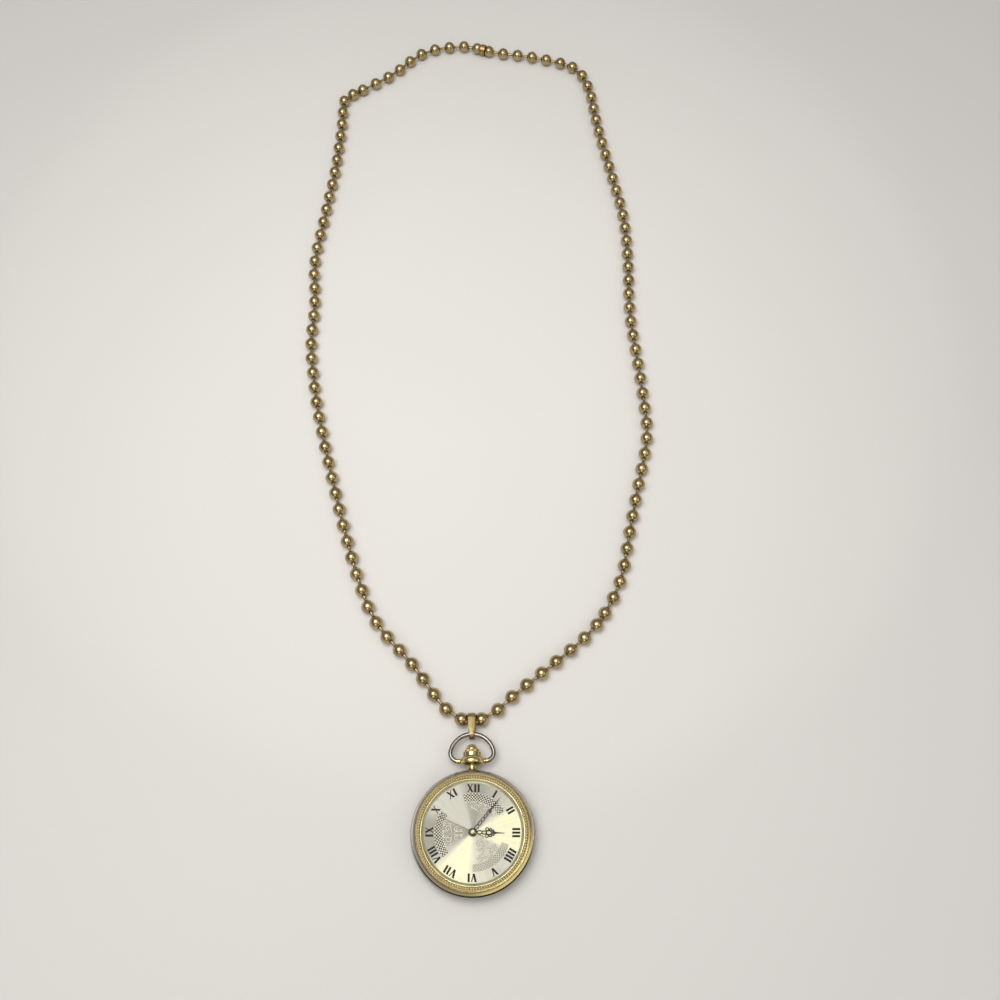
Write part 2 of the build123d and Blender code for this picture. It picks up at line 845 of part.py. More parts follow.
def stem_guides():
    """Blocks under the plate that hold the stem's pilot and its outer bearing."""
    guide_end = stem_square_y - slot_gap
    guide = block(-guide_half_width, guide_half_width, guide_end - guide_thick, guide_end,
                  z_stem - guide_half_width, z_plate)
    bearing_start = movement_radius - plate_rim_width + slot_gap / 2
    bearing_end = movement_radius - slot_gap
    bearing = block(-bearing_half_width, bearing_half_width, bearing_start, bearing_end,
                    z_stem - bearing_half_width, z_plate)
    return guide + (bearing & rod(movement_radius, 0.0, z_dial))


def dial_side_posts():
    """Posts on which the minute wheel, the setting wheel, the lever and the yoke turn."""
    posts = rod(post_radius, z_plate_top, z_hour_wheel_top, minute_wheel_centre)
    posts += rod(post_radius, z_plate_top - setting_wheel_drop, z_minute_wheel_top,
                 setting_wheel_centre)
    for place in (lever_pivot, yoke_pivot):
        posts += rod(lever_post_radius, z_plate_top, z_lever + lever_thick, place)
    return posts


def bridge_face(shares):
    """Outline of a bridge with rounded corners, kept inside the movement."""
    points = [on_movement(share) for share in shares]
    corner = bridge_corner_share * movement_radius
    return make_face(FilletPolyline(*points, radius=corner, close=True)) & disc(bridge_radius)


def screw_hole(place, low, seat, head, shank):
    """Room for a screw entered from the back: its head's recess and its shank's hole."""
    return (rod(head + set_fit, low - overrun, seat, place)
            + rod(shank + set_fit, seat - set_fit, z_plate + overrun, place))


def make_barrel_bridge():
    top = z_barrel_bridge + barrel_bridge_thick
    bridge = plate(bridge_face(barrel_bridge_shares), z_barrel_bridge, top)
    for foot in barrel_feet:
        bridge += rod(foot_radius, z_barrel_bridge, z_plate, foot)
    bridge += rod(lever_post_radius, top, z_winding + click_thick, click_pivot)
    seat = z_barrel_bridge + bridge_screw_head_height
    for foot in barrel_feet:
        bridge -= screw_hole(foot, z_barrel_bridge, seat, bridge_screw_head, bridge_screw_radius)
    bridge -= through_hole(barrel_arbor_radius + running_fit, z_barrel_bridge, top, barrel_centre)
    bridge -= through_hole(bridge_screw_radius + set_fit, z_barrel_bridge, top, crown_wheel_centre)
    return bridge


def make_train_bridge():
    top = z_train_bridge + train_bridge_thick
    bridge = plate(bridge_face(train_bridge_shares), z_train_bridge, top)
    for foot in train_feet:
        bridge += rod(foot_radius, z_train_bridge, z_plate, foot)
    seat = z_train_bridge + bridge_screw_head_height
    for foot in train_feet:
        bridge -= screw_hole(foot, z_train_bridge, seat, bridge_screw_head, bridge_screw_radius)
    for place in (centre, third_centre, escape_centre):
        bridge -= rod(jewel_radius + set_fit, top - jewel_thick, top + overrun, place)
    return bridge


def make_balance_cock():
    top = z_train_bridge + train_bridge_thick
    boss_share = 1.15
    face = disc(boss_share * cock_foot_radius, balance_centre)
    face += bar(balance_centre, cock_foot, 2 * cock_foot_radius)
    cock = plate(face, z_train_bridge, top)
    cock += rod(cock_foot_radius, z_train_bridge, z_plate, cock_foot)
    seat = z_train_bridge + bridge_screw_head_height
    cock -= screw_hole(cock_foot, z_train_bridge, seat, bridge_screw_head, bridge_screw_radius)
    cock -= rod(jewel_radius + set_fit, top - jewel_thick, top + overrun, balance_centre)
    return cock


def make_pallet_bridge():
    top = z_pallet_bridge + pallet_bridge_thick
    bridge = plate(bar(pallet_centre, pallet_foot, 2 * pallet_foot_radius), z_pallet_bridge, top)
    bridge += rod(pallet_foot_radius, z_pallet_bridge, z_plate, pallet_foot)
    bridge -= through_hole(jewel_radius + set_fit, z_pallet_bridge, top, pallet_centre)
    bridge -= through_hole(small_screw_radius + set_fit, z_pallet_bridge, z_plate, pallet_foot)
    return bridge


# Screws and clamps
def screw(place, seat, head, height, shank):
    """Slotted screw entered from the back: its head lies below its seat, its shank goes up."""
    slot_share = 0.3
    tip = z_plate + screw_thread
    body = rod(head, seat - height, seat, place) + rod(shank, seat, tip, place)
    slot = Pos(place[0], place[1], seat - height) * Box(2 * head + overrun, slot_share * head, height)
    return body - slot


def bridge_screw_table():
    """Place, seat, head radius, head height and shank radius of each screw in the plate."""
    table = []
    barrel_seat = z_barrel_bridge + bridge_screw_head_height
    for foot in barrel_feet:
        table.append((foot, barrel_seat, bridge_screw_head, bridge_screw_head_height,
                      bridge_screw_radius))
    train_seat = z_train_bridge + bridge_screw_head_height
    for foot in train_feet + [cock_foot]:
        table.append((foot, train_seat, bridge_screw_head, bridge_screw_head_height,
                      bridge_screw_radius))
    table.append((pallet_foot, z_pallet_bridge, small_screw_head, small_screw_head_height,
                  small_screw_radius))
    return table


def make_bridge_screws():
    return [screw(*row) for row in bridge_screw_table()]


def make_case_clamps():
    clamps = []
    for angle in clamp_angles:
        inner = polar(clamp_screw_place, angle)
        outer = polar(clamp_end_radius - clamp_width / 2, angle)
        clamp = plate(bar(inner, outer, clamp_width), z_plate - clamp_thick, z_plate)
        clamps.append(clamp - through_hole(small_screw_radius + set_fit, z_plate, z_plate, inner))
    return clamps


def make_clamp_screws():
    seat = z_plate - clamp_thick
    return [screw(polar(clamp_screw_place, angle), seat, small_screw_head, small_screw_head_height,
                  small_screw_radius) for angle in clamp_angles]


# Going train
def make_barrel():
    top = z_drum_top
    drum = rod(drum_radius, z_drum, top, barrel_centre)
    drum += plate(gear_face(barrel_teeth, barrel_pitch_radius, 0.0, barrel_centre),
                  top - barrel_tooth_height, top)
    drum -= rod(drum_radius - drum_wall, z_drum - overrun, top - drum_floor, barrel_centre)
    return drum - through_hole(barrel_arbor_radius + running_fit, z_drum, top, barrel_centre)


def make_barrel_cover():
    outer = drum_radius - drum_wall - set_fit
    return ring(outer, barrel_arbor_radius + running_fit, z_drum, z_drum + drum_floor, barrel_centre)


def make_barrel_arbor():
    inside_low = z_drum + drum_floor + running_fit
    inside_high = z_drum_top - drum_floor - running_fit
    square_low = z_winding - wheel_gap + running_fit
    body = rod(barrel_core_radius, inside_low, inside_high, barrel_centre)
    body += rod(barrel_arbor_radius, z_winding_top, z_drum_top + running_fit, barrel_centre)
    body += rod(barrel_pivot_radius, z_drum_top, z_plate + plate_thick / 2 - running_fit,
                barrel_centre)
    body += rod(barrel_arbor_radius, z_barrel_bridge + running_fit, square_low, barrel_centre)
    square = Pos(barrel_centre[0], barrel_centre[1], square_low)
    return body + square * Box(ratchet_square, ratchet_square, z_winding_top - square_low, align=BASE)


def make_ratchet_wheel():
    direction = angle_between(crown_wheel_centre, barrel_centre)
    phase = meshed_phase(direction, crown_wheel_teeth, 0.0, ratchet_teeth)
    wheel = plate(gear_face(ratchet_teeth, ratchet_radius, phase, barrel_centre),
                  z_winding, z_winding_top)
    side = ratchet_square + set_fit
    hole = Pos(barrel_centre[0], barrel_centre[1], z_winding) * Box(side, side, overrun)
    return wheel - hole


def make_mainspring():
    """Coiled strip between the barrel's core and its wall."""
    low = z_drum + drum_floor + wheel_gap
    high = z_drum_top - drum_floor - wheel_gap
    inner = barrel_core_radius + mainspring_strip
    room = drum_radius - drum_wall - mainspring_strip - inner
    pitch = room / (mainspring_turns + mainspring_spare_turns)
    face = spiral_face(inner, pitch, 2 * mainspring_turns, mainspring_strip)
    return plate(Pos(*barrel_centre) * face, low, high)


def make_centre_wheel():
    """Hollow centre arbor with its pinion and wheel. The seconds arbor runs through it."""
    direction = angle_between(barrel_centre, centre)
    pinion_phase = meshed_phase(direction, barrel_teeth, 0.0, centre_pinion_teeth)
    pinion_low = z_third_top + layer_gap / 2
    arbor_top = z_minute_hand - minute_hand_thick
    wheel = spoked_gear(centre_teeth, centre_radius, hub_radius, z_centre, z_centre_top)
    wheel += plate(gear_face(centre_pinion_teeth, centre_pinion_radius, pinion_phase),
                   pinion_low, z_centre)
    wheel += rod(centre_tube_radius, pinion_low, arbor_top)
    return wheel - through_hole(centre_bore_radius, pinion_low, arbor_top)


def make_third_wheel():
    pinion_phase = meshed_phase(third_angle, centre_teeth, 0.0, third_pinion_teeth)
    low = z_train_bridge + train_bridge_thick + running_fit
    high = z_plate - running_fit
    wheel = spoked_gear(third_teeth, third_radius, hub_radius, z_third, z_third_top, 0.0, third_centre)
    wheel += plate(gear_face(third_pinion_teeth, third_pinion_radius, pinion_phase, third_centre),
                   z_centre - running_fit, high)
    return wheel + arbor(third_arbor_radius, low, high, third_centre)


def make_fourth_wheel():
    """Fourth wheel on the seconds arbor, which reaches up through the centre to the hand."""
    direction = angle_between(third_centre, centre)
    pinion_phase = meshed_phase(direction, third_teeth, 0.0, fourth_pinion_teeth)
    low = z_train_bridge + train_bridge_thick + running_fit
    wheel = spoked_gear(fourth_teeth, fourth_pitch_radius, hub_radius, z_fourth, z_fourth_top)
    wheel += plate(gear_face(fourth_pinion_teeth, fourth_pinion_radius, pinion_phase),
                   z_third - layer_gap / 2, z_third_top + running_fit)
    wheel += rod(third_arbor_radius, low, z_third)
    wheel += rod(pivot_radius, low - pivot_length, low)
    return wheel + rod(seconds_arbor_radius, z_third, z_second_hand + second_hand_thick)


def escape_face():
    """Escape wheel with leaning teeth, on four arms."""
    root_share = 0.78
    tip_start_share = 0.55
    tip_end_share = 0.67
    base_end_share = 0.4
    rim_share = 0.66
    root = root_share * escape_radius
    pitch = tooth_pitch(escape_teeth)
    points = []
    for tooth in range(escape_teeth):
        start = tooth * pitch
        points.append(polar(root, start, escape_centre))
        points.append(polar(escape_radius, start + tip_start_share * pitch, escape_centre))
        points.append(polar(escape_radius, start + tip_end_share * pitch, escape_centre))
        points.append(polar(root, start + base_end_share * pitch, escape_centre))
    rim = rim_share * escape_radius
    windows = disc(rim, escape_centre) - disc(2 * arbor_radius, escape_centre)
    for angle in (0.0, 90.0):
        windows -= bar(polar(root, angle, escape_centre), polar(root, angle + 180.0, escape_centre),
                       arbor_radius)
    return make_face(Polyline(*points, close=True)) - windows


def make_escape_wheel():
    pinion_phase = meshed_phase(escape_angle, fourth_teeth, 0.0, escape_pinion_teeth)
    low = z_train_bridge + train_bridge_thick + running_fit
    high = z_plate - running_fit
    wheel = plate(escape_face(), z_escape, z_escape_top)
    wheel += plate(gear_face(escape_pinion_teeth, escape_pinion_radius, pinion_phase, escape_centre),
                   z_fourth - wheel_gap, z_fourth_top + wheel_gap)
    return wheel + arbor(arbor_radius, low, high, escape_centre)


# Escapement and balance
def stone_places():
    """The two pallet stones, one to each side of the line from the escape wheel to the fork."""
    line = angle_between(escape_centre, pallet_centre)
    return [(polar(escape_radius + stone_gap, line + side, escape_centre), line + side)
            for side in (-stone_angle, stone_angle)]


def make_pallet_fork():
    low = z_escape_top + fork_gap
    line = angle_between(pallet_centre, balance_centre)
    end = polar(fork_reach, line, pallet_centre)
    face = bar(pallet_centre, end, fork_lever_width) + disc(2 * pallet_arbor_radius, pallet_centre)
    for place, angle in stone_places():
        face += bar(pallet_centre, place, fork_arm_width)
    face += bar(polar(fork_horn / 2, line + 90.0, end), polar(fork_horn / 2, line - 90.0, end),
                fork_lever_width)
    face -= disc(fork_lever_width / 2, polar(fork_lever_width / 2, line, end))
    fork = plate(face, low, low + fork_thick)
    arbor_low = z_pallet_bridge + pallet_bridge_thick + running_fit
    return fork + arbor(pallet_arbor_radius, arbor_low, z_plate - running_fit, pallet_centre)


def make_pallet_stones():
    stones = []
    for place, angle in stone_places():
        height = z_escape_top + fork_gap - z_escape
        stone = Box(stone_width, stone_length, height, align=BASE)
        stones.append(Pos(place[0], place[1], z_escape) * Rot(0, 0, angle) * stone)
    return stones


def make_balance_wheel():
    inner = balance_radius - balance_rim_width
    face = disc(balance_radius, balance_centre) - disc(inner, balance_centre)
    rim_middle = inner + balance_rim_width / 2
    face += bar(polar(rim_middle, balance_angle, balance_centre),
                polar(rim_middle, balance_angle + 180.0, balance_centre), balance_arm_width)
    face += disc(hub_radius, balance_centre)
    wheel = plate(face, z_balance, z_balance_top)
    return wheel - through_hole(balance_seat_radius, z_balance, z_balance_top, balance_centre)


def make_balance_staff():
    """Staff with the seat of the balance and the roller that meets the fork."""
    low = z_train_bridge + train_bridge_thick + running_fit
    roller_low = z_escape_top + fork_gap
    staff = arbor(arbor_radius, low, z_plate - running_fit, balance_centre)
    staff += rod(balance_seat_radius, z_balance, z_balance_top, balance_centre)
    staff += rod(hub_radius, z_balance_top, z_balance_top + wheel_gap, balance_centre)
    return staff + rod(roller_radius, roller_low, roller_low + fork_thick, balance_centre)


def make_hairspring():
    low = z_train_bridge + train_bridge_thick + hairspring_drop
    inner = arbor_radius + running_fit + hairspring_strip
    pitch = (hairspring_radius - inner) / hairspring_turns
    face = spiral_face(inner, pitch, 2 * hairspring_turns, hairspring_strip)
    return plate(Pos(*balance_centre) * face, low, low + hairspring_height)


# Motion work and hands
def make_cannon_pinion():
    top = z_minute_hand + minute_hand_thick
    pinion = plate(gear_face(cannon_teeth, cannon_radius), z_minute_wheel, z_minute_wheel_top)
    pinion += rod(cannon_tube_radius, z_minute_wheel, top)
    return pinion - through_hole(cannon_bore_radius, z_minute_wheel, top)


def minute_wheel_phase():
    return meshed_phase(minute_wheel_angle, cannon_teeth, 0.0, minute_wheel_teeth)


def make_minute_wheel():
    wheel = plate(gear_face(minute_wheel_teeth, minute_wheel_radius, minute_wheel_phase(),
                            minute_wheel_centre), z_minute_wheel, z_minute_wheel_top)
    wheel += plate(gear_face(minute_pinion_teeth, minute_pinion_radius, 0.0, minute_wheel_centre),
                   z_minute_wheel_top, z_hour_wheel_top)
    return wheel - through_hole(post_radius + running_fit, z_minute_wheel, z_hour_wheel_top,
                                minute_wheel_centre)


def make_hour_wheel():
    phase = meshed_phase(minute_wheel_angle + 180.0, minute_pinion_teeth, 0.0, hour_wheel_teeth)
    top = z_hour_hand + hour_hand_thick
    wheel = plate(gear_face(hour_wheel_teeth, hour_wheel_radius, phase), z_hour_wheel,
                  z_hour_wheel_top)
    wheel += rod(hour_tube_radius, z_hour_wheel, top)
    return wheel - through_hole(hour_bore_radius, z_hour_wheel, top)


def make_setting_wheel():
    phase = meshed_phase(setting_wheel_angle, minute_wheel_teeth, minute_wheel_phase(),
                         setting_wheel_teeth)
    low = z_minute_wheel - setting_wheel_drop
    wheel = plate(gear_face(setting_wheel_teeth, setting_wheel_radius, phase, setting_wheel_centre),
                  low, z_minute_wheel_top)
    return wheel - through_hole(post_radius + running_fit, low, z_minute_wheel_top,
                                setting_wheel_centre)


def pierced_hand(length, hub, bore, rings_shares, sides_shares, needle_share, turn):
    """Hand of small rings on a thin spine, with a needle at its end, turned from twelve."""
    spine_share = 0.5
    root = length * needle_share
    face = disc(hub) + bar((0, 0), (0, root), spine_share * hand_needle_width)
    holes = [disc(bore)]
    for place, outer, inner in rings_shares:
        face += disc(outer * length, (0, place * length))
        holes.append(disc(inner * length, (0, place * length)))
    for place, side, outer, inner in sides_shares:
        for way in (-1, 1):
            at = (way * side * length, place * length)
            face += disc(outer * length, at)
            holes.append(disc(inner * length, at))
    face += make_face(Polyline((-hand_needle_width / 2, root), (-hand_tip_width / 2, length),
                               (hand_tip_width / 2, length), (hand_needle_width / 2, root),
                               close=True))
    for hole in holes:
        face -= hole
    return Rot(0, 0, -turn) * face


def make_hour_hand():
    face = pierced_hand(hour_hand_length, hour_hand_hub_radius, hour_tube_radius + set_fit,
                        hour_hand_rings_shares, hour_hand_sides_shares, hour_hand_needle_share,
                        hour_hand_turn)
    return plate(face, z_hour_hand, z_hour_hand + hour_hand_thick)


def make_minute_hand():
    face = pierced_hand(minute_hand_length, minute_hand_hub_radius, cannon_tube_radius + set_fit,
                        minute_hand_rings_shares, minute_hand_sides_shares,
                        minute_hand_needle_share, minute_hand_turn)
    return plate(face, z_minute_hand, z_minute_hand + minute_hand_thick)


def make_second_hand():
    half = second_hand_width / 2
    tip = hand_tip_width / 2
    needle = make_face(Polyline((-half, -second_hand_tail), (-tip, second_hand_length),
                                (tip, second_hand_length), (half, -second_hand_tail), close=True))
    face = needle + disc(second_hand_hub_radius)
    hand = plate(Rot(0, 0, -second_hand_turn) * face, z_second_hand,
                 z_second_hand + second_hand_thick)
    hand += rod(second_hand_hub_radius, z_second_hand - hand_step / 2, z_second_hand)
    return hand - through_hole(seconds_arbor_radius + set_fit, z_second_hand, z_second_hand)


# Winding and setting work
def make_crown_wheel():
    wheel = plate(gear_face(crown_wheel_teeth, crown_wheel_radius, 0.0, crown_wheel_centre),
                  z_winding, z_winding_top)
    wheel -= through_hole(crown_wheel_post_radius + running_fit, z_winding, z_winding_top,
                          crown_wheel_centre)
    return wheel - rod(crown_wheel_head_radius + running_fit,
                       z_winding + winding_wheel_thick / 2 - running_fit, z_winding_top + overrun,
                       crown_wheel_centre)


def make_crown_wheel_screw():
    """Shouldered screw on which the crown wheel turns. Its head is flush with the wheel."""
    bridge_top = z_barrel_bridge + barrel_bridge_thick
    head_low = z_winding + winding_wheel_thick / 2
    slot_share = 0.3
    body = rod(crown_wheel_head_radius, head_low, z_winding_top, crown_wheel_centre)
    body += rod(crown_wheel_post_radius, bridge_top, head_low, crown_wheel_centre)
    body += rod(bridge_screw_radius, z_barrel_bridge, bridge_top, crown_wheel_centre)
    slot = Pos(crown_wheel_centre[0], crown_wheel_centre[1], z_winding_top)
    return body - slot * Box(2 * crown_wheel_head_radius + overrun,
                             slot_share * crown_wheel_head_radius, wheel_gap)


def click_tip():
    """End of the click's beak, just outside the ratchet wheel's teeth."""
    tip_share = 0.85
    tip_circle = ratchet_radius + tip_share * gear_module(ratchet_teeth, ratchet_radius)
    return polar(tip_circle + click_gap + click_beak_width / 2, click_angle - click_lean,
                 barrel_centre)


def make_click():
    face = disc(click_hub_radius, click_pivot) + bar(click_pivot, click_tip(), click_beak_width)
    click = plate(face, z_winding, z_winding + click_thick)
    return click - through_hole(lever_post_radius + running_fit, z_winding, z_winding, click_pivot)


def make_click_spring():
    """Thin spring fixed on the barrel bridge, close to the click's hub."""
    top = z_barrel_bridge + barrel_bridge_thick
    rest = towards(click_pivot, click_post, click_hub_radius + click_gap + click_spring_width / 2)
    face = bar(click_post, rest, click_spring_width) + disc(lever_post_radius, click_post)
    return plate(face, top, top + click_thick)


def make_winding_pinion():
    pinion = plate(gear_face(winding_pinion_teeth, winding_pinion_radius), winding_pinion_y,
                   winding_pinion_end_y)
    pinion -= through_hole(stem_round_radius + running_fit, winding_pinion_y, winding_pinion_end_y)
    return along_stem(pinion)


def make_sliding_pinion():
    pinion = plate(gear_face(winding_pinion_teeth, sliding_pinion_radius), sliding_pinion_y,
                   sliding_pinion_end_y)
    pinion -= ring(sliding_pinion_radius + overrun, sliding_groove_radius, sliding_groove_y,
                   sliding_groove_y + sliding_groove_width)
    side = stem_square + 2 * running_fit
    hole = Pos(0, 0, sliding_pinion_y) * Box(side, side, 2 * sliding_pinion_length + overrun)
    return along_stem(pinion - hole)


def make_winding_stem():
    square_end = winding_pinion_y - seam
    stem = rod(stem_pilot_radius, stem_pilot_y, stem_square_y)
    stem += Pos(0, 0, stem_square_y) * Box(stem_square, stem_square, square_end - stem_square_y,
                                           align=BASE)
    stem += rod(stem_round_radius, square_end, stem_groove_y)
    stem += rod(stem_groove_radius, stem_groove_y, stem_groove_end_y)
    stem += rod(stem_radius, stem_groove_end_y, crown_base_y + crown_stem_depth)
    return along_stem(stem)


def make_crown():
    skirt_top = crown_base_y + crown_skirt_height
    knob_top = skirt_top + crown_knob_height
    face = outline(
        (0.0, crown_base_y),
        (crown_skirt_radius, crown_base_y),
        (crown_skirt_radius, skirt_top),
        (crown_knob_radius, skirt_top),
        (crown_knob_radius, knob_top - crown_knob_dome),
        ((0.0, knob_top), dome_rise(crown_knob_radius, crown_knob_dome)),
    )
    crown = turned(face)
    for flute in range(crown_flutes):
        place = polar(crown_skirt_radius, flute * tooth_pitch(crown_flutes))
        crown -= through_hole(crown_flute_radius, crown_base_y, skirt_top, place)
    crown -= rod(stem_radius + set_fit, crown_base_y - overrun, crown_base_y + crown_stem_depth)
    return along_stem(crown)


def make_setting_lever():
    face = bar(lever_pivot, lever_pin, lever_width) + disc(lever_width, lever_pivot)
    lever = plate(face, z_lever, z_lever + lever_thick)
    lever += rod(lever_pin_radius, z_stem - lever_pin_reach, z_lever, lever_pin)
    return lever - through_hole(lever_post_radius + running_fit, z_lever, z_lever, lever_pivot)


def make_yoke():
    face = bar(yoke_pivot, yoke_pin, yoke_width) + disc(lever_width, yoke_pivot)
    yoke = plate(face, z_lever, z_lever + lever_thick)
    yoke += rod(lever_pin_radius, z_stem - lever_pin_reach, z_lever, yoke_pin)
    return yoke - through_hole(lever_post_radius + running_fit, z_lever, z_lever, yoke_pivot)


def make_keyless_cover():
    """Bridge over the setting lever and the yoke, on two feet."""
    top = z_keyless_cover + keyless_cover_thick
    face = bar(keyless_cover_feet[0], keyless_cover_feet[1], keyless_cover_width)
    face += bar(keyless_cover_feet[0], lever_pivot, keyless_cover_width)
    face += bar(keyless_cover_feet[1], yoke_pivot, keyless_cover_width)
    cover = plate(face, z_keyless_cover, top)
    for foot in keyless_cover_feet:
        cover += rod(keyless_cover_width / 2, z_plate_top, top, foot)
    return cover


# Pendant, bow and bail
def make_pendant(case_middle):
    """Neck and rounded head that the bow turns in, seated on the case."""
    bore = stem_radius + pendant_bore_fit
    face = outline(
        (bore, neck_foot_y),
        (neck_radius, neck_foot_y),
        (neck_radius, neck_flare_y),
        (neck_radius + neck_flare, neck_flare_y),
        ((neck_radius, neck_flare_y + neck_flare_length), -pendant_bulge),
        (neck_radius, pendant_base_y),
        ((pendant_radius - pendant_bulge, pendant_base_y + pendant_rise), pendant_bulge),
        ((pendant_radius, pendant_widest_y), pendant_bulge / 4),
        ((pendant_dome_radius, pendant_shoulder_y), pendant_bulge),
        (pendant_dome_radius, pendant_top_y),
        (bore, pendant_top_y),
    )
    pendant = along_stem(turned(face)) - case_middle
    for way in (-1, 1):
        hole = Cylinder(bow_wire_radius + bow_hole_fit, pendant_radius, align=BASE)
        side = Pos(way * (bow_pin_x - seam), pendant_widest_y, z_stem) * Rot(0, way * 90, 0)
        pendant -= side * hole
    return pendant


def bow_path():
    """Centreline of the bow in the XY plane, from its right pin over the top to its left pin."""
    corner = (bow_half_width - bow_corner_radius, bow_corner_radius)
    low = bow_height - bow_corner_radius
    span = corner[0] ** 2 + low ** 2 - bow_corner_radius ** 2
    top_radius = span / (2 * (low - bow_corner_radius))
    top_centre = (0.0, bow_height - top_radius)
    meet = angle_between(top_centre, corner)
    foot = (corner[0], 0.0)
    middle = polar(bow_corner_radius, (meet - 90.0) / 2, corner)
    join = polar(bow_corner_radius, meet, corner)
    right = Line((bow_pin_x, 0.0), foot) + ThreePointArc(foot, middle, join)
    top = ThreePointArc(join, (0.0, bow_height), (-join[0], join[1]))
    return Wire((right + top + mirror(right, Plane.YZ)).edges())


def make_bow():
    path = bow_path()
    section = Plane(origin=path @ 0, z_dir=path % 0) * Circle(bow_wire_radius)
    wire = sweep(section, path=path)
    return Pos(0, pendant_widest_y, z_stem) * Rot(-bow_droop, 0, 0) * wire


def bow_top():
    """Where the bail hangs on the bow: its place in Y and Z."""
    droop = math.radians(bow_droop)
    return (pendant_widest_y + bow_height * math.cos(droop), z_stem - bow_height * math.sin(droop))


def belt_face(first, first_radius, second, second_radius):
    """Two discs and the straight sides that touch both."""
    run = distance_between(first, second)
    line = angle_between(first, second)
    lean = math.degrees(math.acos((first_radius - second_radius) / run))
    sides = make_face(Polyline(polar(first_radius, line + lean, first),
                               polar(second_radius, line + lean, second),
                               polar(second_radius, line - lean, second),
                               polar(first_radius, line - lean, first), close=True))
    return sides + disc(first_radius, first) + disc(second_radius, second)


def make_bail():
    """Strap bent round the chain's link and the bow, narrower at the bow."""
    chain_end = (bail_y, bead_radius)
    bow_end = bow_top()
    face = belt_face(chain_end, bail_chain_radius, bow_end, bail_bow_radius)
    face -= belt_face(chain_end, bail_chain_radius - bail_strap, bow_end,
                      bail_bow_radius - bail_strap)
    strap = Pos(-bail_wide / 2, 0, 0) * (Plane.YZ * extrude(face, amount=bail_wide))
    shoulder = bail_y - bail_shoulder
    waist = shoulder - bail_taper
    low = bow_end[0] - bail_bow_radius - overrun
    high = bail_y + bail_chain_radius + overrun
    wide = bail_wide / 2
    narrow = bail_narrow / 2
    plan = make_face(Polyline((-wide, high), (-wide, shoulder), (-narrow, waist), (-narrow, low),
                              (narrow, low), (narrow, waist), (wide, shoulder), (wide, high),
                              close=True))
    return strap & plate(plan, -overrun, 2 * case_shoulder_z)


# Ball chain
def corner_radii(points):
    """Radius of each corner: as large as its two runs allow."""
    run_share = 0.45
    radii = []
    for before, here, after in zip(points, points[1:], points[2:]):
        shorter = min((here - before).length, (after - here).length)
        half_turn = math.radians((here - before).get_angle(after - here) / 2)
        radii.append(run_share * shorter / math.tan(half_turn))
    return radii


def chain_path():
    points = [Vector(x, bail_y + y, bead_radius) for x, y in chain_route]
    radii = corner_radii(points)
    print("chain corner radii:", " ".join(f"{radius:.0f}" for radius in radii))
    return FilletPolyline(*points, radius=radii)


def chain_places():
    """Centres of the beads along the route. The bail hangs in the middle of the last gap."""
    path = chain_path()
    right_count = beads_before_clasp_count - 1
    usual = [right_gap_share if gap < right_count else 1.0 for gap in range(bead_count)]
    shares = [tight_gap_shares.get(gap, usual[gap]) for gap in range(bead_count)]
    step = path.length / sum(shares)
    print(f"chain route {path.length:.1f} mm, bead pitch on it {step:.3f} mm")
    places = []
    travelled = shares[-1] * step / 2
    for share in shares:
        places.append(path.position_at(travelled / path.length))
        travelled += share * step
    return places


def make_beads(places):
    shell = Sphere(bead_radius) - Sphere(bead_radius - bead_wall)
    beads = []
    for number, place in enumerate(places):
        bead = shell
        for neighbour in (places[number - 1], places[(number + 1) % len(places)]):
            aim = Plane(origin=(0, 0, 0), z_dir=neighbour - place)
            bead = bead - aim * Cylinder(bead_hole_radius, 2 * bead_radius, align=BASE)
        beads.append(Pos(place) * bead)
    return beads


def make_links(places):
    reach = bead_pitch / 2 - link_reach
    link = Cylinder(link_radius, 2 * reach)
    for way in (-1, 1):
        link += Pos(0, 0, way * reach) * Cylinder(link_head_radius, link_head_length)
    links = []
    for number, place in enumerate(places):
        following = places[(number + 1) % len(places)]
        links.append(Plane(origin=(place + following) / 2, z_dir=following - place) * link)
    return links


def make_clasp(places):
    """Split sleeve that closes the loop: its web snaps over one link and its lips stop the beads."""
    half = clasp_length / 2
    inner = clasp_radius - clasp_wall
    sleeve = ring(clasp_radius, inner, -half, half)
    sleeve += ring(clasp_radius, inner - clasp_lip, -half, clasp_lip - half)
    sleeve += ring(clasp_radius, inner - clasp_lip, half - clasp_lip, half)
    sleeve += ring(clasp_radius, link_radius + clasp_fit, -clasp_web / 2, clasp_web / 2)
    sleeve -= block(0.0, 2 * clasp_radius, -clasp_mouth / 2, clasp_mouth / 2,
                    -half - overrun, half + overrun)
    here = places[beads_before_clasp_count - 1]
    following = places[beads_before_clasp_count]
    return Plane(origin=(here + following) / 2, x_dir=(0, 0, -1), z_dir=following - here) * sleeve


def exported(shape):
    """A piece, or a list of pieces that share a node, as one shape to write."""
    if isinstance(shape, list):
        return Compound(children=[piece.solid() for piece in shape])
    return shape


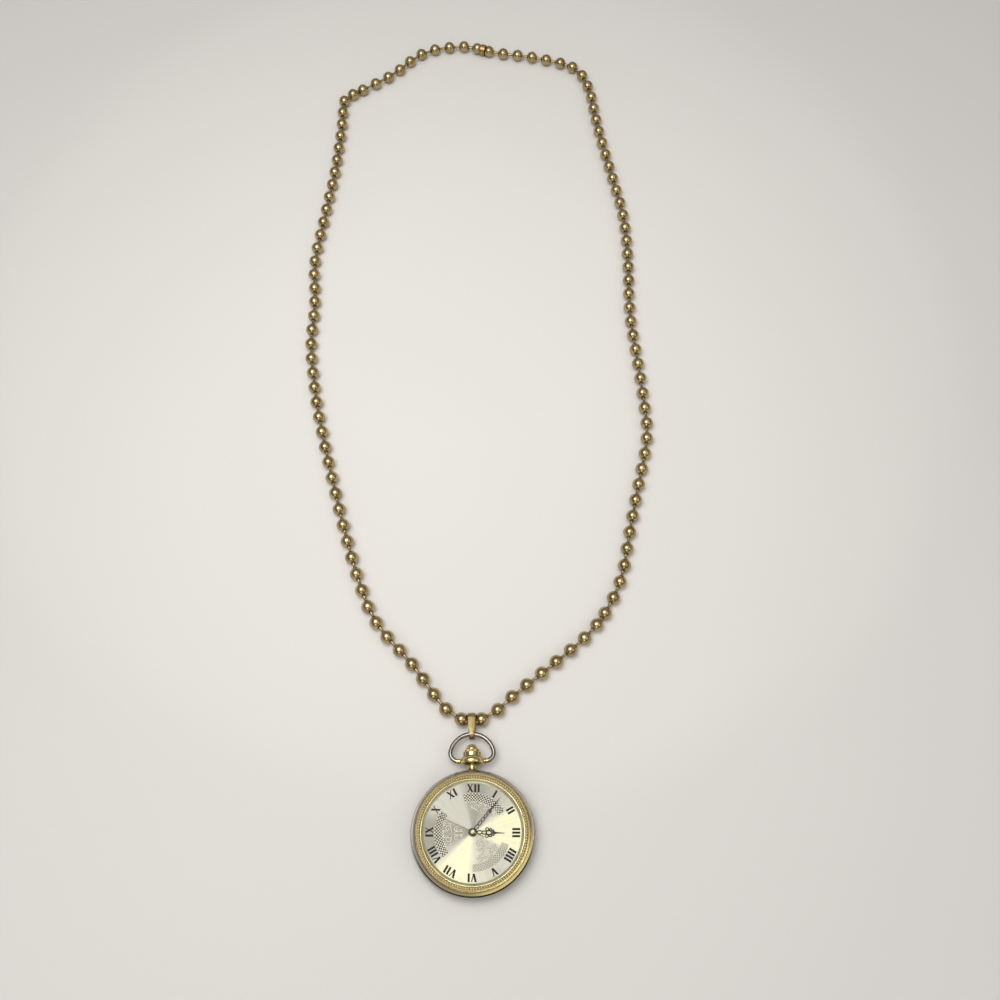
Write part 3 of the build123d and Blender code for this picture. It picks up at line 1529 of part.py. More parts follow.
def build():
    case_middle = make_case_middle()
    places = chain_places()
    parts = {
        "case_middle": case_middle,
        "case_back": make_case_back(),
        "bezel": make_bezel(),
        "crystal": make_crystal(),
        "dial_flange": make_dial_flange(),
        "dial": make_dial(),
        "movement_ring": make_movement_ring(),
        "mainplate": make_mainplate(),
        "barrel_bridge": make_barrel_bridge(),
        "train_bridge": make_train_bridge(),
        "balance_cock": make_balance_cock(),
        "pallet_bridge": make_pallet_bridge(),
        "jewels": make_jewels(),
        "bridge_screws": make_bridge_screws(),
        "case_clamps": make_case_clamps(),
        "clamp_screws": make_clamp_screws(),
        "keyless_cover": make_keyless_cover(),
        "barrel": make_barrel(),
        "barrel_cover": make_barrel_cover(),
        "barrel_arbor": make_barrel_arbor(),
        "mainspring": make_mainspring(),
        "ratchet_wheel": make_ratchet_wheel(),
        "crown_wheel": make_crown_wheel(),
        "crown_wheel_screw": make_crown_wheel_screw(),
        "click": make_click(),
        "click_spring": make_click_spring(),
        "centre_wheel": make_centre_wheel(),
        "third_wheel": make_third_wheel(),
        "fourth_wheel": make_fourth_wheel(),
        "escape_wheel": make_escape_wheel(),
        "pallet_fork": make_pallet_fork(),
        "pallet_stones": make_pallet_stones(),
        "balance_wheel": make_balance_wheel(),
        "balance_staff": make_balance_staff(),
        "hairspring": make_hairspring(),
        "cannon_pinion": make_cannon_pinion(),
        "minute_wheel": make_minute_wheel(),
        "hour_wheel": make_hour_wheel(),
        "setting_wheel": make_setting_wheel(),
        "hour_hand": make_hour_hand(),
        "minute_hand": make_minute_hand(),
        "second_hand": make_second_hand(),
        "winding_pinion": make_winding_pinion(),
        "sliding_pinion": make_sliding_pinion(),
        "winding_stem": make_winding_stem(),
        "crown": make_crown(),
        "setting_lever": make_setting_lever(),
        "yoke": make_yoke(),
        "pendant": make_pendant(case_middle),
        "bow": make_bow(),
        "bail": make_bail(),
        "chain_beads": make_beads(places),
        "chain_links": make_links(places),
        "chain_clasp": make_clasp(places),
    }
    os.makedirs("parts", exist_ok=True)
    for name, shape in parts.items():
        export_step(exported(shape), f"parts/{name}.step")


build()
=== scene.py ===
"""Pendant watch on a ball chain: the looks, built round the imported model."""
import json
import math

import bmesh
import bpy
import numpy as np
from mathutils import Matrix


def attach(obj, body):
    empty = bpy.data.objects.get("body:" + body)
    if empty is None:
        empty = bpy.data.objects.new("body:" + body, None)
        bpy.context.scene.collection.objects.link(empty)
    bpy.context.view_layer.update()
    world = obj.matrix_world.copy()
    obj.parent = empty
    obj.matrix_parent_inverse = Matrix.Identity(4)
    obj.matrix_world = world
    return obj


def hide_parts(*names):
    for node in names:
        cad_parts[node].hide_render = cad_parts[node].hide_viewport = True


bl_info = {
    "name": "Pendant Watch",
    "version": (1, 0, 0),
    "blender": (4, 5, 0),
    "location": "View3D > Sidebar > Watch",
    "description": "Dresses a pendant watch on a ball chain",
    "category": "Object",
}

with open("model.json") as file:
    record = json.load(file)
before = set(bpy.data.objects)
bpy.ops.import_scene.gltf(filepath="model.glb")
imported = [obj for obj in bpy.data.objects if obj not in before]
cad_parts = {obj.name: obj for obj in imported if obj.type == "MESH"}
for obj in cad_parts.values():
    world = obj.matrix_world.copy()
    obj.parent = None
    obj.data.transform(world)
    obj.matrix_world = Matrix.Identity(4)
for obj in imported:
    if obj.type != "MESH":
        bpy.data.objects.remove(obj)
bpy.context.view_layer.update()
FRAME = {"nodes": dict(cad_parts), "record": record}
MM = 0.001
FULL_TURN = 2 * math.pi
# Degrees from which an edge is sharp, and metres within which points are one
CREASE = 38.0
MERGE = 2e-7

# Heights on the watch, in millimetres from the flat of its back
Z_STEM = 3.38
Z_DIAL = 6.03
Z_COLLAR = 6.95
Z_CREST = 7.70


# Surfaces worked out with numpy

def stacked(*axes):
    """Coordinates brought to one shape and laid side by side as points."""
    return np.stack(np.broadcast_arrays(*axes), -1)


def turns(count):
    """Angles of a full turn in equal steps."""
    return np.linspace(0, FULL_TURN, count, endpoint=False)


def circled(radius, turn, *rest):
    """Points (r cos a, r sin a), with any further coordinates as they are."""
    return stacked(radius * np.cos(turn), radius * np.sin(turn), *rest)


def turned(first, second, angle):
    """Two coordinates turned by an angle: (c p + s q, c q - s p)."""
    c, s = np.cos(angle), np.sin(angle)
    return c * first + s * second, c * second - s * first


def unit(vectors):
    return vectors / np.linalg.norm(vectors, axis=-1, keepdims=True)


def along(line, shares):
    """Points (x, y) of a line of points at shares of its length."""
    steps = np.r_[0, np.cumsum(np.linalg.norm(np.diff(line, axis=0), axis=1))]
    return stacked(*(np.interp(shares * steps[-1], steps, line[:, i]) for i in (0, 1)))


def outline(*corners):
    """Corners (r, z) as an array. A corner with a rise and a count is reached from the last one by
    points of a parabola whose middle stands off by the rise, to the right."""
    points = []
    for r, z, *bend in corners:
        end = np.array([r, z], float)
        if not bend:
            points.append(end)
            continue
        rise, count = bend
        run = end - points[-1]
        right = np.array([run[1], -run[0]]) / np.linalg.norm(run)
        t = np.linspace(0, 1, count)[1:, None]
        points.extend(points[-1] + t * run + 4 * t * (1 - t) * rise * right)
    return np.array(points)


def soft_profile(corners, radius, closed=True, steps=4, hold=1.25):
    """Outline with rounded corners and the sharpness of each point.

    A corner P between its neighbours becomes (1-t)^2 A + 2 t (1-t) P + t^2 C, where A and C lie
    radius away from P along its two sides. A holding point lies a little further out on each side.
    The sharpness is sin(pi t), positive on outer corners and negative on inner ones.
    """
    points = np.asarray(corners, float)
    to_last = np.roll(points, 1, 0) - points
    to_next = np.roll(points, -1, 0) - points
    shorter = np.minimum(np.linalg.norm(to_last, axis=1), np.linalg.norm(to_next, axis=1))
    reach = np.minimum(radius, 0.4 * shorter)[:, None]
    x, y = points.T
    area = np.sum(x * np.roll(y, -1) - np.roll(x, -1) * y)
    outward = np.sign((to_next[:, 0] * to_last[:, 1] - to_next[:, 1] * to_last[:, 0]) * area)
    if not closed:
        reach[[0, -1]] = outward[[0, -1]] = 0.0
    a, c = unit(to_last) * reach, unit(to_next) * reach
    t = np.linspace(0, 1, steps + 1)[:, None]
    curve = points[:, None] + (1 - t) ** 2 * a[:, None] + t ** 2 * c[:, None]
    ring = np.concatenate([(points + hold * a)[:, None], curve, (points + hold * c)[:, None]], 1)
    sharp = outward[:, None] * np.r_[0.0, np.sin(np.pi * t[:, 0]), 0.0]
    return ring.reshape(-1, 2), sharp.reshape(-1)


def revolved(profile, count):
    """A profile of radius r and height z turned about Z: (r cos a, r sin a, z)."""
    return circled(profile[:, 0], turns(count)[:, None], profile[:, 1])


def with_caps(grid, middles):
    """Closes the first and the last row of a grid towards two middles."""
    ends = np.repeat(middles[:, None], grid.shape[1], 1)
    return np.concatenate([ends[:1], grid, ends[1:]])


def swept(path, section, normal, closed=False, capped=False, scale=1.0):
    """A section (s, n) carried along a path in a plane: path + s * side + n * normal, where side
    is the tangent times the normal. scale multiplies the section at each point of the path."""
    if closed:
        tangent = np.roll(path, -1, 0) - np.roll(path, 1, 0)
    else:
        tangent = np.gradient(path, axis=0)
    side = np.cross(unit(tangent), normal)[:, None]
    s, n = np.moveaxis(section * np.broadcast_to(scale, (len(path), 2))[:, None], -1, 0)
    grid = path[:, None] + s[..., None] * side + n[..., None] * np.asarray(normal, float)
    return with_caps(grid, path[[0, -1]]) if capped else grid


def bevelled(x, y):
    """Section of a flat bar from -1 to 1 both ways, with its corners cut from x and from y on."""
    return np.array([[-1, -y], [-x, -1], [x, -1], [1, -y], [1, y], [x, 1], [-x, 1], [-1, y]], float)


def grid_part(grid, wrap_u=False, wrap_v=False, sharp=0.0):
    """Points, four-sided faces and sharpness of a grid, or of many like grids. A wrapped side
    joins its start."""
    rows, columns = grid.shape[-3:-1]
    index = np.arange(rows * columns).reshape(rows, columns)
    if wrap_u:
        index = np.vstack([index, index[:1]])
    if wrap_v:
        index = np.hstack([index, index[:, :1]])
    faces = np.stack([index[:-1, :-1], index[1:, :-1], index[1:, 1:], index[:-1, 1:]], -1)
    starts = np.arange(0, grid.size // 3, rows * columns)[:, None, None]
    edge = np.broadcast_to(sharp, grid.shape[:-1]).reshape(-1)
    return grid.reshape(-1, 3), (faces.reshape(-1, 4) + starts).reshape(-1, 4), edge


def lathed(corners, rounding, count, closed=True, place=None):
    """Part turned from an outline with rounded corners, then put in place by a function."""
    profile, sharp = soft_profile(corners, rounding, closed)
    grid = revolved(profile, count)
    return grid_part(place(grid) if place else grid, True, closed, sharp)


def prism_part(corners, low, high):
    """Prisms between two heights over four-cornered outlines, given as (n, 4, 2)."""
    x, y = np.moveaxis(corners[:, None], -1, 0)
    points = stacked(x, y, np.array([[low], [high]])).reshape(-1, 3)
    sides = [[i, (i + 1) % 4, (i + 1) % 4 + 4, i + 4] for i in range(4)]
    box = np.array([[3, 2, 1, 0], [4, 5, 6, 7]] + sides)
    faces = box + 8 * np.arange(len(corners))[:, None, None]
    return points, faces.reshape(-1, 4), np.zeros(len(points))


def ball_part(centres, radius, flat=1.0, rows=7, columns=12):
    """Balls at centres: (sin p cos a, sin p sin a, flat cos p) times the radius."""
    polar = np.linspace(0, np.pi, rows)[:, None]
    ball = circled(np.sin(polar), turns(columns), flat * np.cos(polar))
    return grid_part(centres[:, None, None] + radius * ball, wrap_v=True)


def make_mesh(name, parts, material, crease=CREASE):
    """Mesh of parts in millimetres. Doubles are merged, so poles and seams close."""
    points = np.concatenate([part[0] for part in parts]) * MM
    starts = np.cumsum([0] + [len(part[0]) for part in parts[:-1]])
    faces = np.concatenate([part[1] + start for part, start in zip(parts, starts)])
    edge = np.concatenate([part[2] for part in parts])
    mesh = bpy.data.meshes.new(name)
    mesh.vertices.add(len(points))
    mesh.vertices.foreach_set("co", points.astype(np.float32).ravel())
    mesh.loops.add(faces.size)
    mesh.loops.foreach_set("vertex_index", faces.astype(np.int32).ravel())
    mesh.polygons.add(len(faces))
    mesh.polygons.foreach_set("loop_start", (4 * np.arange(len(faces))).astype(np.int32))
    mesh.update(calc_edges=True)
    mesh.attributes.new("edge", "FLOAT", "POINT").data.foreach_set("value", edge.astype(np.float32))
    shape = bmesh.new()
    shape.from_mesh(mesh)
    bmesh.ops.remove_doubles(shape, verts=shape.verts, dist=MERGE)
    bmesh.ops.dissolve_degenerate(shape, edges=shape.edges, dist=1e-8)
    bmesh.ops.recalc_face_normals(shape, faces=shape.faces)
    shape.to_mesh(mesh)
    shape.free()
    mesh.polygons.foreach_set("use_smooth", np.ones(len(mesh.polygons), bool))
    mesh.set_sharp_from_angle(angle=math.radians(crease))
    mesh.materials.append(material)
    return mesh


def plain_object(name, data):
    thing = bpy.data.objects.new(name, data)
    bpy.context.scene.collection.objects.link(thing)
    return thing


def make_piece(name, parts, material, replaces=(), body="watch_case", crease=CREASE):
    """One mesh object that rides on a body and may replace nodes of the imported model."""
    piece = plain_object(name, make_mesh(name, parts, material, crease))
    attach(piece, body)
    if replaces:
        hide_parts(*replaces)


def repaint(node, material):
    """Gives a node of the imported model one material."""
    mesh = FRAME["nodes"][node].data
    mesh.materials.clear()
    mesh.materials.append(material)


# Materials, all worked out by nodes

class Nodes:
    """The nodes of a new material or world, added and linked by short calls."""

    def __init__(self, name, kind="Material"):
        world = kind == "World"
        self.block = (bpy.data.worlds if world else bpy.data.materials).new(name)
        self.block.use_nodes = True
        self.tree = self.block.node_tree
        self.tree.nodes.clear()
        self.output = self.add("Output" + kind)
        self.place = self.add("TexCoord").outputs["Generated" if world else "Object"]
        self.x, self.y, self.z = self.add("SeparateXYZ", {0: self.place}).outputs

    def add(self, kind, inputs=None, **settings):
        node = self.tree.nodes.new("ShaderNode" + kind)
        for key, value in settings.items():
            setattr(node, key, value)
        for key, value in (inputs or {}).items():
            if isinstance(value, bpy.types.NodeSocket):
                self.tree.links.new(value, node.inputs[key])
            else:
                node.inputs[key].default_value = value
        return node

    def maths(self, operation, first, second=0.0, third=0.0):
        inputs = {0: first, 1: second, 2: third}
        return self.add("Math", inputs, operation=operation).outputs[0]

    def times(self, first, second):
        return self.maths("MULTIPLY", first, second)

    def noise(self, vector, scale, detail=3.0, roughness=0.55):
        inputs = {"Vector": vector, "Scale": scale, "Detail": detail, "Roughness": roughness}
        return self.add("TexNoise", inputs).outputs["Fac"]

    def span(self, value, low, high, new_low, new_high):
        inputs = {0: value, 1: low, 2: high, 3: new_low, 4: new_high}
        return self.add("MapRange", inputs).outputs[0]

    def span_mm(self, value, low, high, new_low=0.0, new_high=1.0):
        return self.span(value, low * MM, high * MM, new_low, new_high)

    def stretched(self, scale):
        return self.add("Mapping", {"Vector": self.place, "Scale": scale}).outputs[0]

    def mixed(self, factor, first, second, blend="MIX"):
        """Mix of two colours, whose sockets are the seventh, the eighth and the third output."""
        return self.add("Mix", {0: factor, 6: first, 7: second}, data_type="RGBA",
                        blend_type=blend).outputs[2]

    def ramp(self, value, *stops):
        """Colour ramp. A stop is its place and its colour."""
        node = self.add("ValToRGB", {0: value})
        points = node.color_ramp.elements
        while len(points) < len(stops):
            points.new(0.5)
        for point, (place, colour) in zip(points, stops):
            point.position = place
            point.color = colour
        return node.outputs[0]

    def polar(self):
        """Distance from the Z axis and angle about it."""
        square = self.maths("MULTIPLY_ADD", self.y, self.y, self.maths("POWER", self.x, 2.0))
        return self.maths("SQRT", square), self.maths("ARCTAN2", self.y, self.x)

    def vector(self, x, y, z=0.0):
        return self.add("CombineXYZ", {0: x, 1: y, 2: z}).outputs[0]

    def edge(self):
        return self.add("Attribute", attribute_name="edge").outputs["Fac"]

    def bump(self, height, strength, depth_mm):
        inputs = {"Height": height, "Strength": strength, "Distance": depth_mm * MM}
        return self.add("Bump", inputs).outputs[0]

    def show(self, shader):
        self.tree.links.new(shader.outputs[0], self.output.inputs[0])
        return self.block

    def finish(self, base, rough, normal=None, metallic=1.0, **constants):
        inputs = {"Base Color": base, "Roughness": rough, "Metallic": metallic}
        inputs.update({key.replace("_", " "): value for key, value in constants.items()})
        if normal is not None:
            inputs["Normal"] = normal
        return self.show(self.add("BsdfPrincipled", inputs))


def tone(colour, factor=1.0, shift=0.0):
    """A colour made darker or lighter, and a little redder or bluer."""
    scales = (factor * (1 + shift), factor, factor * (1 - shift))
    return tuple(min(1.0, level * scale) for level, scale in zip(colour, scales)) + (1.0,)


def worn_and_shaded_plate(n, colour, patina, spot_mm, edge_light):
    """Colour of plate: patches of patina, bright outer edges where it wears, and inner corners
    darkened with painted shade and tarnish.
    """
    patches = n.noise(n.place, 1 / (spot_mm * MM), 4.0, 0.6)
    base = n.ramp(patches, (0.30, tone(colour, 1 - patina, 0.05)), (0.55, tone(colour)),
                  (0.78, tone(colour, 1 + 0.3 * patina, -0.02)))
    edge = n.edge()
    base = n.mixed(n.span(edge, 0.0, 1.0, 0.0, 0.8), base, tone(colour, edge_light, -0.03))
    # Inner corners go nearly black: painted shade, with tarnish
    return n.mixed(n.span(edge, 0.0, -1.0, 0.0, 0.9), base, tone(colour, 0.12, 0.08))


def metal(name, colour, rough, patina=0.25, spot_mm=1.6, scratch=0.25, spun=False, edge_light=1.25,
          others=()):
    """Worn metal with fine scratches and smears, and painted shade in its inner corners. Each of
    others is a further colour and a function that works out, from the nodes, how much of it shows."""
    n = Nodes(name)
    base = worn_and_shaded_plate(n, colour, patina, spot_mm, edge_light)
    for second, share in others:
        base = n.mixed(share(n), base, worn_and_shaded_plate(n, second, patina, spot_mm, edge_light))
    if spun:
        distance, angle = n.polar()
        circles = n.vector(n.times(distance, 9000.0), n.times(angle, 0.6), n.times(n.z, 9000.0))
        lines = n.noise(circles, 1.0, 2.0)
    else:
        lines = n.noise(n.stretched((1.0, 7.0, 3.0)), 900.0, 3.0, 0.7)
    smears = n.noise(n.place, 1 / (3.2 * spot_mm * MM), 2.0)
    roughness = n.maths("ADD", n.span(lines, 0.3, 0.7, rough * 0.8, rough * 1.35),
                        n.span(smears, 0.35, 0.7, 0.0, 0.5 * rough))
    return n.finish(base, roughness, n.bump(lines, scratch, 0.004))


def plated_movement(name, colour):
    """Nickel plate with a pattern of overlapping small circles, as on watch movements."""
    n = Nodes(name)
    cells = n.add("TexVoronoi", {"Vector": n.place, "Scale": 1100.0, "Randomness": 0.15})
    rings = n.maths("SINE", n.times(cells.outputs["Distance"], 60.0))
    base = n.ramp(n.span(rings, -1.0, 1.0, 0.0, 1.0), (0.0, tone(colour, 0.82)),
                  (1.0, tone(colour, 1.08)))
    return n.finish(base, n.span(rings, -1.0, 1.0, 0.22, 0.36), n.bump(rings, 0.3, 0.005))


def stone(name, colour):
    """Red synthetic stone with slight clouding."""
    n = Nodes(name)
    clouds = n.noise(n.place, 1500.0, 2.0)
    base = n.ramp(clouds, (0.35, tone(colour, 0.6)), (0.7, tone(colour, 1.2)))
    rough = n.span(n.noise(n.place, 3000.0), 0.3, 0.7, 0.05, 0.12)
    return n.finish(base, rough, metallic=0.0, Coat_Weight=0.5)


# Degrees clockwise from twelve, and how bright the sunburst's painted sheen of lamplight is there
SUNBURST_SHEEN = ((269.9, 0.0), (250, 0.0), (234, 0.5), (224, 1.0), (192, 1.0), (176, 0.72), (145, 0.52),
            (121, 0.58), (111, 1.0), (64, 1.0), (54, 0.55), (34, 0.3), (11, 0.0), (353, 0.12),
            (342, 0.5), (306, 0.52), (297, 0.4), (286, 0.0), (270.1, 0.0))


def tuned(colour, deep, share):
    """Colour part of the way from the deep tone to the bright one, neutral until near the end."""
    pale = 0.86 * max(colour[:3])
    full = [pale + (c - pale) * share ** 2 for c in colour[:3]]
    return tuple(d + (c - d) * share for c, d in zip(full, deep[:3])) + (1.0,)


def dial_metal(name, colour, deep, matt=False):
    """Champagne dial with a sunburst: fine rays from the centre, and broad soft sectors of painted
    sheen where the brushed dial catches the lamp.
    """
    n = Nodes(name)
    distance, angle = n.polar()
    rays = n.noise(n.vector(n.times(angle, 60.0), n.times(distance, 25.0)), 1.0, 3.0, 0.65)
    # Painted sheen: the tone of each direction stands for lamplight caught by the brushed dial
    sectors = n.ramp(n.maths("DIVIDE", n.maths("ADD", angle, math.pi), FULL_TURN),
                     *(((0.75 - clockwise / 360) % 1.0, tuned(colour, deep, share))
                       for clockwise, share in SUNBURST_SHEEN))
    base = n.mixed(n.span(rays, 0.3, 0.7, 0.0, 0.22), sectors, tone(deep, 0.86), "MULTIPLY")
    age = n.noise(n.place, 420.0, 4.0, 0.6)
    base = n.mixed(n.span(age, 0.58, 0.8, 0.0, 0.35), base, tone(deep, 0.78, 0.04))
    if matt:
        grain = n.noise(n.place, 9000.0, 2.0)
        # Painted shade on the ground between the lattice's ribs, as dark as its sharpness says
        dark = n.mixed(1.0, base, (0.10, 0.095, 0.08, 1), "MULTIPLY")
        base = n.mixed(n.span(n.edge(), 0.0, 1.0, 0.0, 1.0), base, dark)
        return n.finish(base, 0.55, n.bump(grain, 0.5, 0.01), metallic=0.1, Specular_IOR_Level=0.1)
    tangent = n.add("Tangent", direction_type="RADIAL", axis="Z").outputs[0]
    return n.finish(base, n.span(rays, 0.3, 0.7, 0.42, 0.52), n.bump(rays, 0.12, 0.004),
                    metallic=0.12, Anisotropic=0.6, Tangent=tangent)


def relief_silver(name, colour):
    """Pale raised metal, bright on its ridges, with painted shade darkening its feet."""
    n = Nodes(name)
    dust = n.noise(n.place, 1200.0, 3.0)
    base = n.ramp(dust, (0.35, tone(colour, 0.86)), (0.7, tone(colour, 1.04)))
    # Painted shade at the feet of the ribs and scrolls
    base = n.mixed(n.span(n.edge(), 0.3, -1.0, 0.0, 0.9), base, tone(colour, 0.16))
    return n.finish(base, n.span(dust, 0.3, 0.7, 0.28, 0.40), metallic=0.1)


def paint(name, colour, rough):
    """Printed lacquer, thin in places."""
    n = Nodes(name)
    thin = n.noise(n.place, 2600.0, 3.0)
    base = n.ramp(thin, (0.35, tone(colour, 0.8)), (0.75, tone(colour, 1.9)))
    rough = n.span(thin, 0.3, 0.7, rough * 0.8, rough * 1.3)
    return n.finish(base, rough, n.bump(thin, 0.2, 0.003), metallic=0.0, Specular_IOR_Level=0.2)


def clear_dome(name, colour):
    """Thin clear acrylic: see-through face on, and more of a mirror towards its edges, with faint
    scratches."""
    n = Nodes(name)
    scratches = n.noise(n.stretched((1.0, 9.0, 2.0)), 500.0, 4.0, 0.7)
    facing = n.add("LayerWeight", {"Blend": 0.2}).outputs["Facing"]
    rough = n.span(facing, 0.1, 0.6, 0.45, 0.08)
    gloss = n.add("BsdfGlossy", {"Color": (1, 1, 1, 1), "Roughness": rough})
    clear = n.add("BsdfTransparent", {"Color": colour})
    share = n.maths("ADD", n.span(facing, 0.0, 1.0, 0.004, 0.10),
                    n.span(scratches, 0.66, 0.72, 0.0, 0.012))
    return n.show(n.add("MixShader", {0: share, 1: clear.outputs[0], 2: gloss.outputs[0]}))


# What a user would change

def length(default_mm, name, description):
    return bpy.props.FloatProperty(name=name, description=description, unit="LENGTH",
                                   default=default_mm * MM, min=0.0, precision=5)


def colour(default, name, description):
    return bpy.props.FloatVectorProperty(name=name, description=description, subtype="COLOR",
                                         default=default, size=4, min=0.0, max=1.0)


def power(default, name, description):
    return bpy.props.FloatProperty(name=name, description=description, subtype="POWER",
                                   default=default)


class WATCH_PG_sizes(bpy.types.PropertyGroup):
    """Sizes of the watch's dress"""
    numeral_height: length(2.1, "Numeral height", "Height of the hour numerals")
    numeral_place: length(11.55, "Numeral place", "Numerals' distance from the centre")
    minute_hand: length(11.7, "Minute hand", "Length of the minute hand from the centre")
    hour_hand: length(8.45, "Hour hand", "Length of the hour hand from the centre")
    second_hand: length(11.2, "Seconds hand", "Length of the seconds hand from the centre")
    bead_radius: length(2.0, "Bead radius", "Radius of a chain bead")
    bead_hole: length(0.58, "Bead hole", "Radius of the holes in a bead")
    link_radius: length(0.45, "Link radius", "Radius of the link between two beads")
    bow_wire: length(0.62, "Bow wire", "Radius of the bow's wire")


class WATCH_PG_colours(bpy.types.PropertyGroup):
    """Colours of the watch's dress"""
    gold: colour((0.60, 0.48, 0.22, 1), "Gold", "Gold plate of the bezel, pendant and crown")
    side: colour((0.50, 0.45, 0.36, 1), "Case side", "Worn plate of the case middle and back")
    steel: colour((0.27, 0.255, 0.225, 1), "Bow", "Steel of the bow")
    bead: colour((0.46, 0.355, 0.18, 1), "Bead", "Brass of the chain beads")
    link: colour((0.36, 0.27, 0.12, 1), "Link", "Brass of the chain links")
    clasp: colour((0.40, 0.27, 0.12, 1), "Clasp", "Browned brass of the clasp")
    # The dial's bright sectors are painted sheen of lamplight
    dial: colour((0.97, 0.94, 0.68, 1), "Dial", "Champagne of the dial in its bright sectors")
    dial_deep: colour((0.34, 0.325, 0.28, 1), "Dial shade", "Silver grey of its other sectors")
    relief: colour((0.90, 0.87, 0.76, 1), "Relief", "Raised lattice and scrolls of the dial")
    ring: colour((0.95, 0.90, 0.62, 1), "Dial ring", "Satin ring round the dial")
    print_black: colour((0.012, 0.011, 0.010, 1), "Print", "Black of the numerals and the hands")


class WATCH_PG_stage(bpy.types.PropertyGroup):
    """Floor, lamps and camera"""
    table: colour((0.805, 0.790, 0.757, 1), "Table", "Colour of the table top")
    lamp: power(1.35, "Lamp", "Power of the main soft lamp")
    fill: power(0.45, "Fill", "Power of each side lamp")
    lens: bpy.props.FloatProperty(name="Lens", description="Focal length on a 36 mm frame",
                                  default=40.302, subtype="DISTANCE_CAMERA")


GROUPS = {"watch_sizes": WATCH_PG_sizes, "watch_colours": WATCH_PG_colours,
          "watch_stage": WATCH_PG_stage}


def settings():
    return [getattr(bpy.context.scene, key) for key in GROUPS]


class WatchOperator:
    """What every step of the dress shares"""
    bl_options = {"REGISTER", "UNDO"}

    def execute(self, context):
        self.make(*settings())
        return {"FINISHED"}


# Stage

# The camera's place in millimetres, its lean and roll in radians, and the way on the table that
# is up in the photo
CAMERA_PLACE = (6.80, -43.84, 313.3)
CAMERA_LEAN = 0.42975
CAMERA_ROLL = 0.00403
PHOTO_UP = (0.0183, 0.9998)
# The table's radius and the level of its top, in millimetres
TABLE_RADIUS = 1600.0
TABLE_LEVEL = -0.05
# Metres from the chain's middle, and the share of the table's colour there: a painted pool of light
TABLE_LIGHT_POOL = ((0.05, 1.0), (0.15, 0.90), (0.17, 0.85), (0.24, 0.83))
# Height from straight down to straight up, and the light from there
ROOM_LIGHT = ((0.0, 0.80), (0.10, 0.72), (0.25, 0.22), (0.55, 0.22), (0.80, 0.60), (1.0, 1.0))


def posed(right, up, back, place):
    """Matrix with three given axes at a place."""
    matrix = np.eye(4)
    matrix[:3] = stacked(right, up, back, place)
    return Matrix(matrix.tolist())


def aimed(place, target):
    """Matrix at a place, looking at a target along its own -Z."""
    back = unit(np.subtract(place, target))
    side = unit(np.cross((0.0, 1.0, 0.0), back))
    return posed(side, np.cross(back, side), back, place)


class WATCH_OT_stage(WatchOperator, bpy.types.Operator):
    """Make the table, the lamps, the world and the camera"""
    bl_idname = "watch.stage"
    bl_label = "Stage"

    def make(self, sizes, colours, stage):
        scene = bpy.context.scene
        scene.view_settings.view_transform = "Standard"
        self.camera(scene, stage)
        self.table_top(stage)
        self.lamps(stage)
        n = Nodes("room", "World")
        light = n.ramp(n.z, *((height, tone((level, level * 0.985, level * 0.96)))
                              for height, level in ROOM_LIGHT))
        scene.world = n.show(n.add("Background", {0: light}))

    def camera(self, scene, stage):
        data = bpy.data.cameras.new("camera")
        data.sensor_width, data.lens = 36.0, stage.lens
        data.clip_start, data.clip_end = 0.01, 20.0
        x, y = PHOTO_UP
        lean, sink = math.sin(CAMERA_LEAN), math.cos(CAMERA_LEAN)
        up, right = np.array([sink * x, sink * y, lean]), np.array([y, -x, 0.0])
        up, right = turned(up, right, CAMERA_ROLL)
        back = np.array([-lean * x, -lean * y, sink])
        scene.camera = plain_object("camera", data)
        scene.camera.matrix_world = posed(right, up, back, np.array(CAMERA_PLACE) * MM)

    def table_top(self, stage):
        n = Nodes("table_paint")
        middle = n.add("Mapping", {"Vector": n.place, "Location": (0.0, -0.17, 0.0)})
        away = n.add("VectorMath", {0: middle.outputs[0]}, operation="LENGTH").outputs[1]
        # Painted pool of light round the chain's middle, darker farther out
        base = n.ramp(away, *((reach, tone(stage.table, share)) for reach, share in TABLE_LIGHT_POOL))
        cloud = n.noise(n.place, 6.0, 2.0)
        base = n.mixed(n.span(cloud, 0.3, 0.7, 0.0, 0.05), base, tone(stage.table, 0.5))
        rim = np.array([[0.0, TABLE_LEVEL], [TABLE_RADIUS, TABLE_LEVEL]])
        part = grid_part(revolved(rim, 64), wrap_u=True)
        mesh = make_mesh("table_top", [part], n.finish(base, 0.6, metallic=0.0))
        plain_object("table_top", mesh)

    def lamps(self, stage):
        for name, watts, size, place, target, tint in (
            ("lamp_main", stage.lamp, 0.36, (-0.10, 0.07, 0.50), (-0.02, 0.10, 0.0),
             (1.0, 0.99, 0.965)),
            ("lamp_right", stage.fill, 0.40, (0.62, -0.20, 0.62), (0.0, 0.13, 0.0),
             (0.97, 0.98, 1.0)),
            ("lamp_front", stage.fill, 0.30, (-0.10, -0.52, 0.42), (0.0, 0.0, 0.0),
             (1.0, 0.98, 0.95)),
        ):
            data = bpy.data.lights.new(name, "AREA")
            data.shape = "DISK"
            data.size, data.energy, data.color = size, watts, tint
            plain_object(name, data).matrix_world = aimed(place, target)


# Case

def seam_shade_share(n):
    """Painted shade in the join between bezel and case middle, outside a radius of 15.8 mm and from
    5.4 to 6.3 mm up, all on the side away from the pendant."""
    out = n.span_mm(n.polar()[0], 15.75, 15.9)
    high = n.times(n.span_mm(n.z, 5.35, 5.5), n.span_mm(n.z, 6.2, 6.35, 1.0, 0.0))
    return n.times(n.times(out, high), n.span_mm(n.y, 1.0, -8.0))


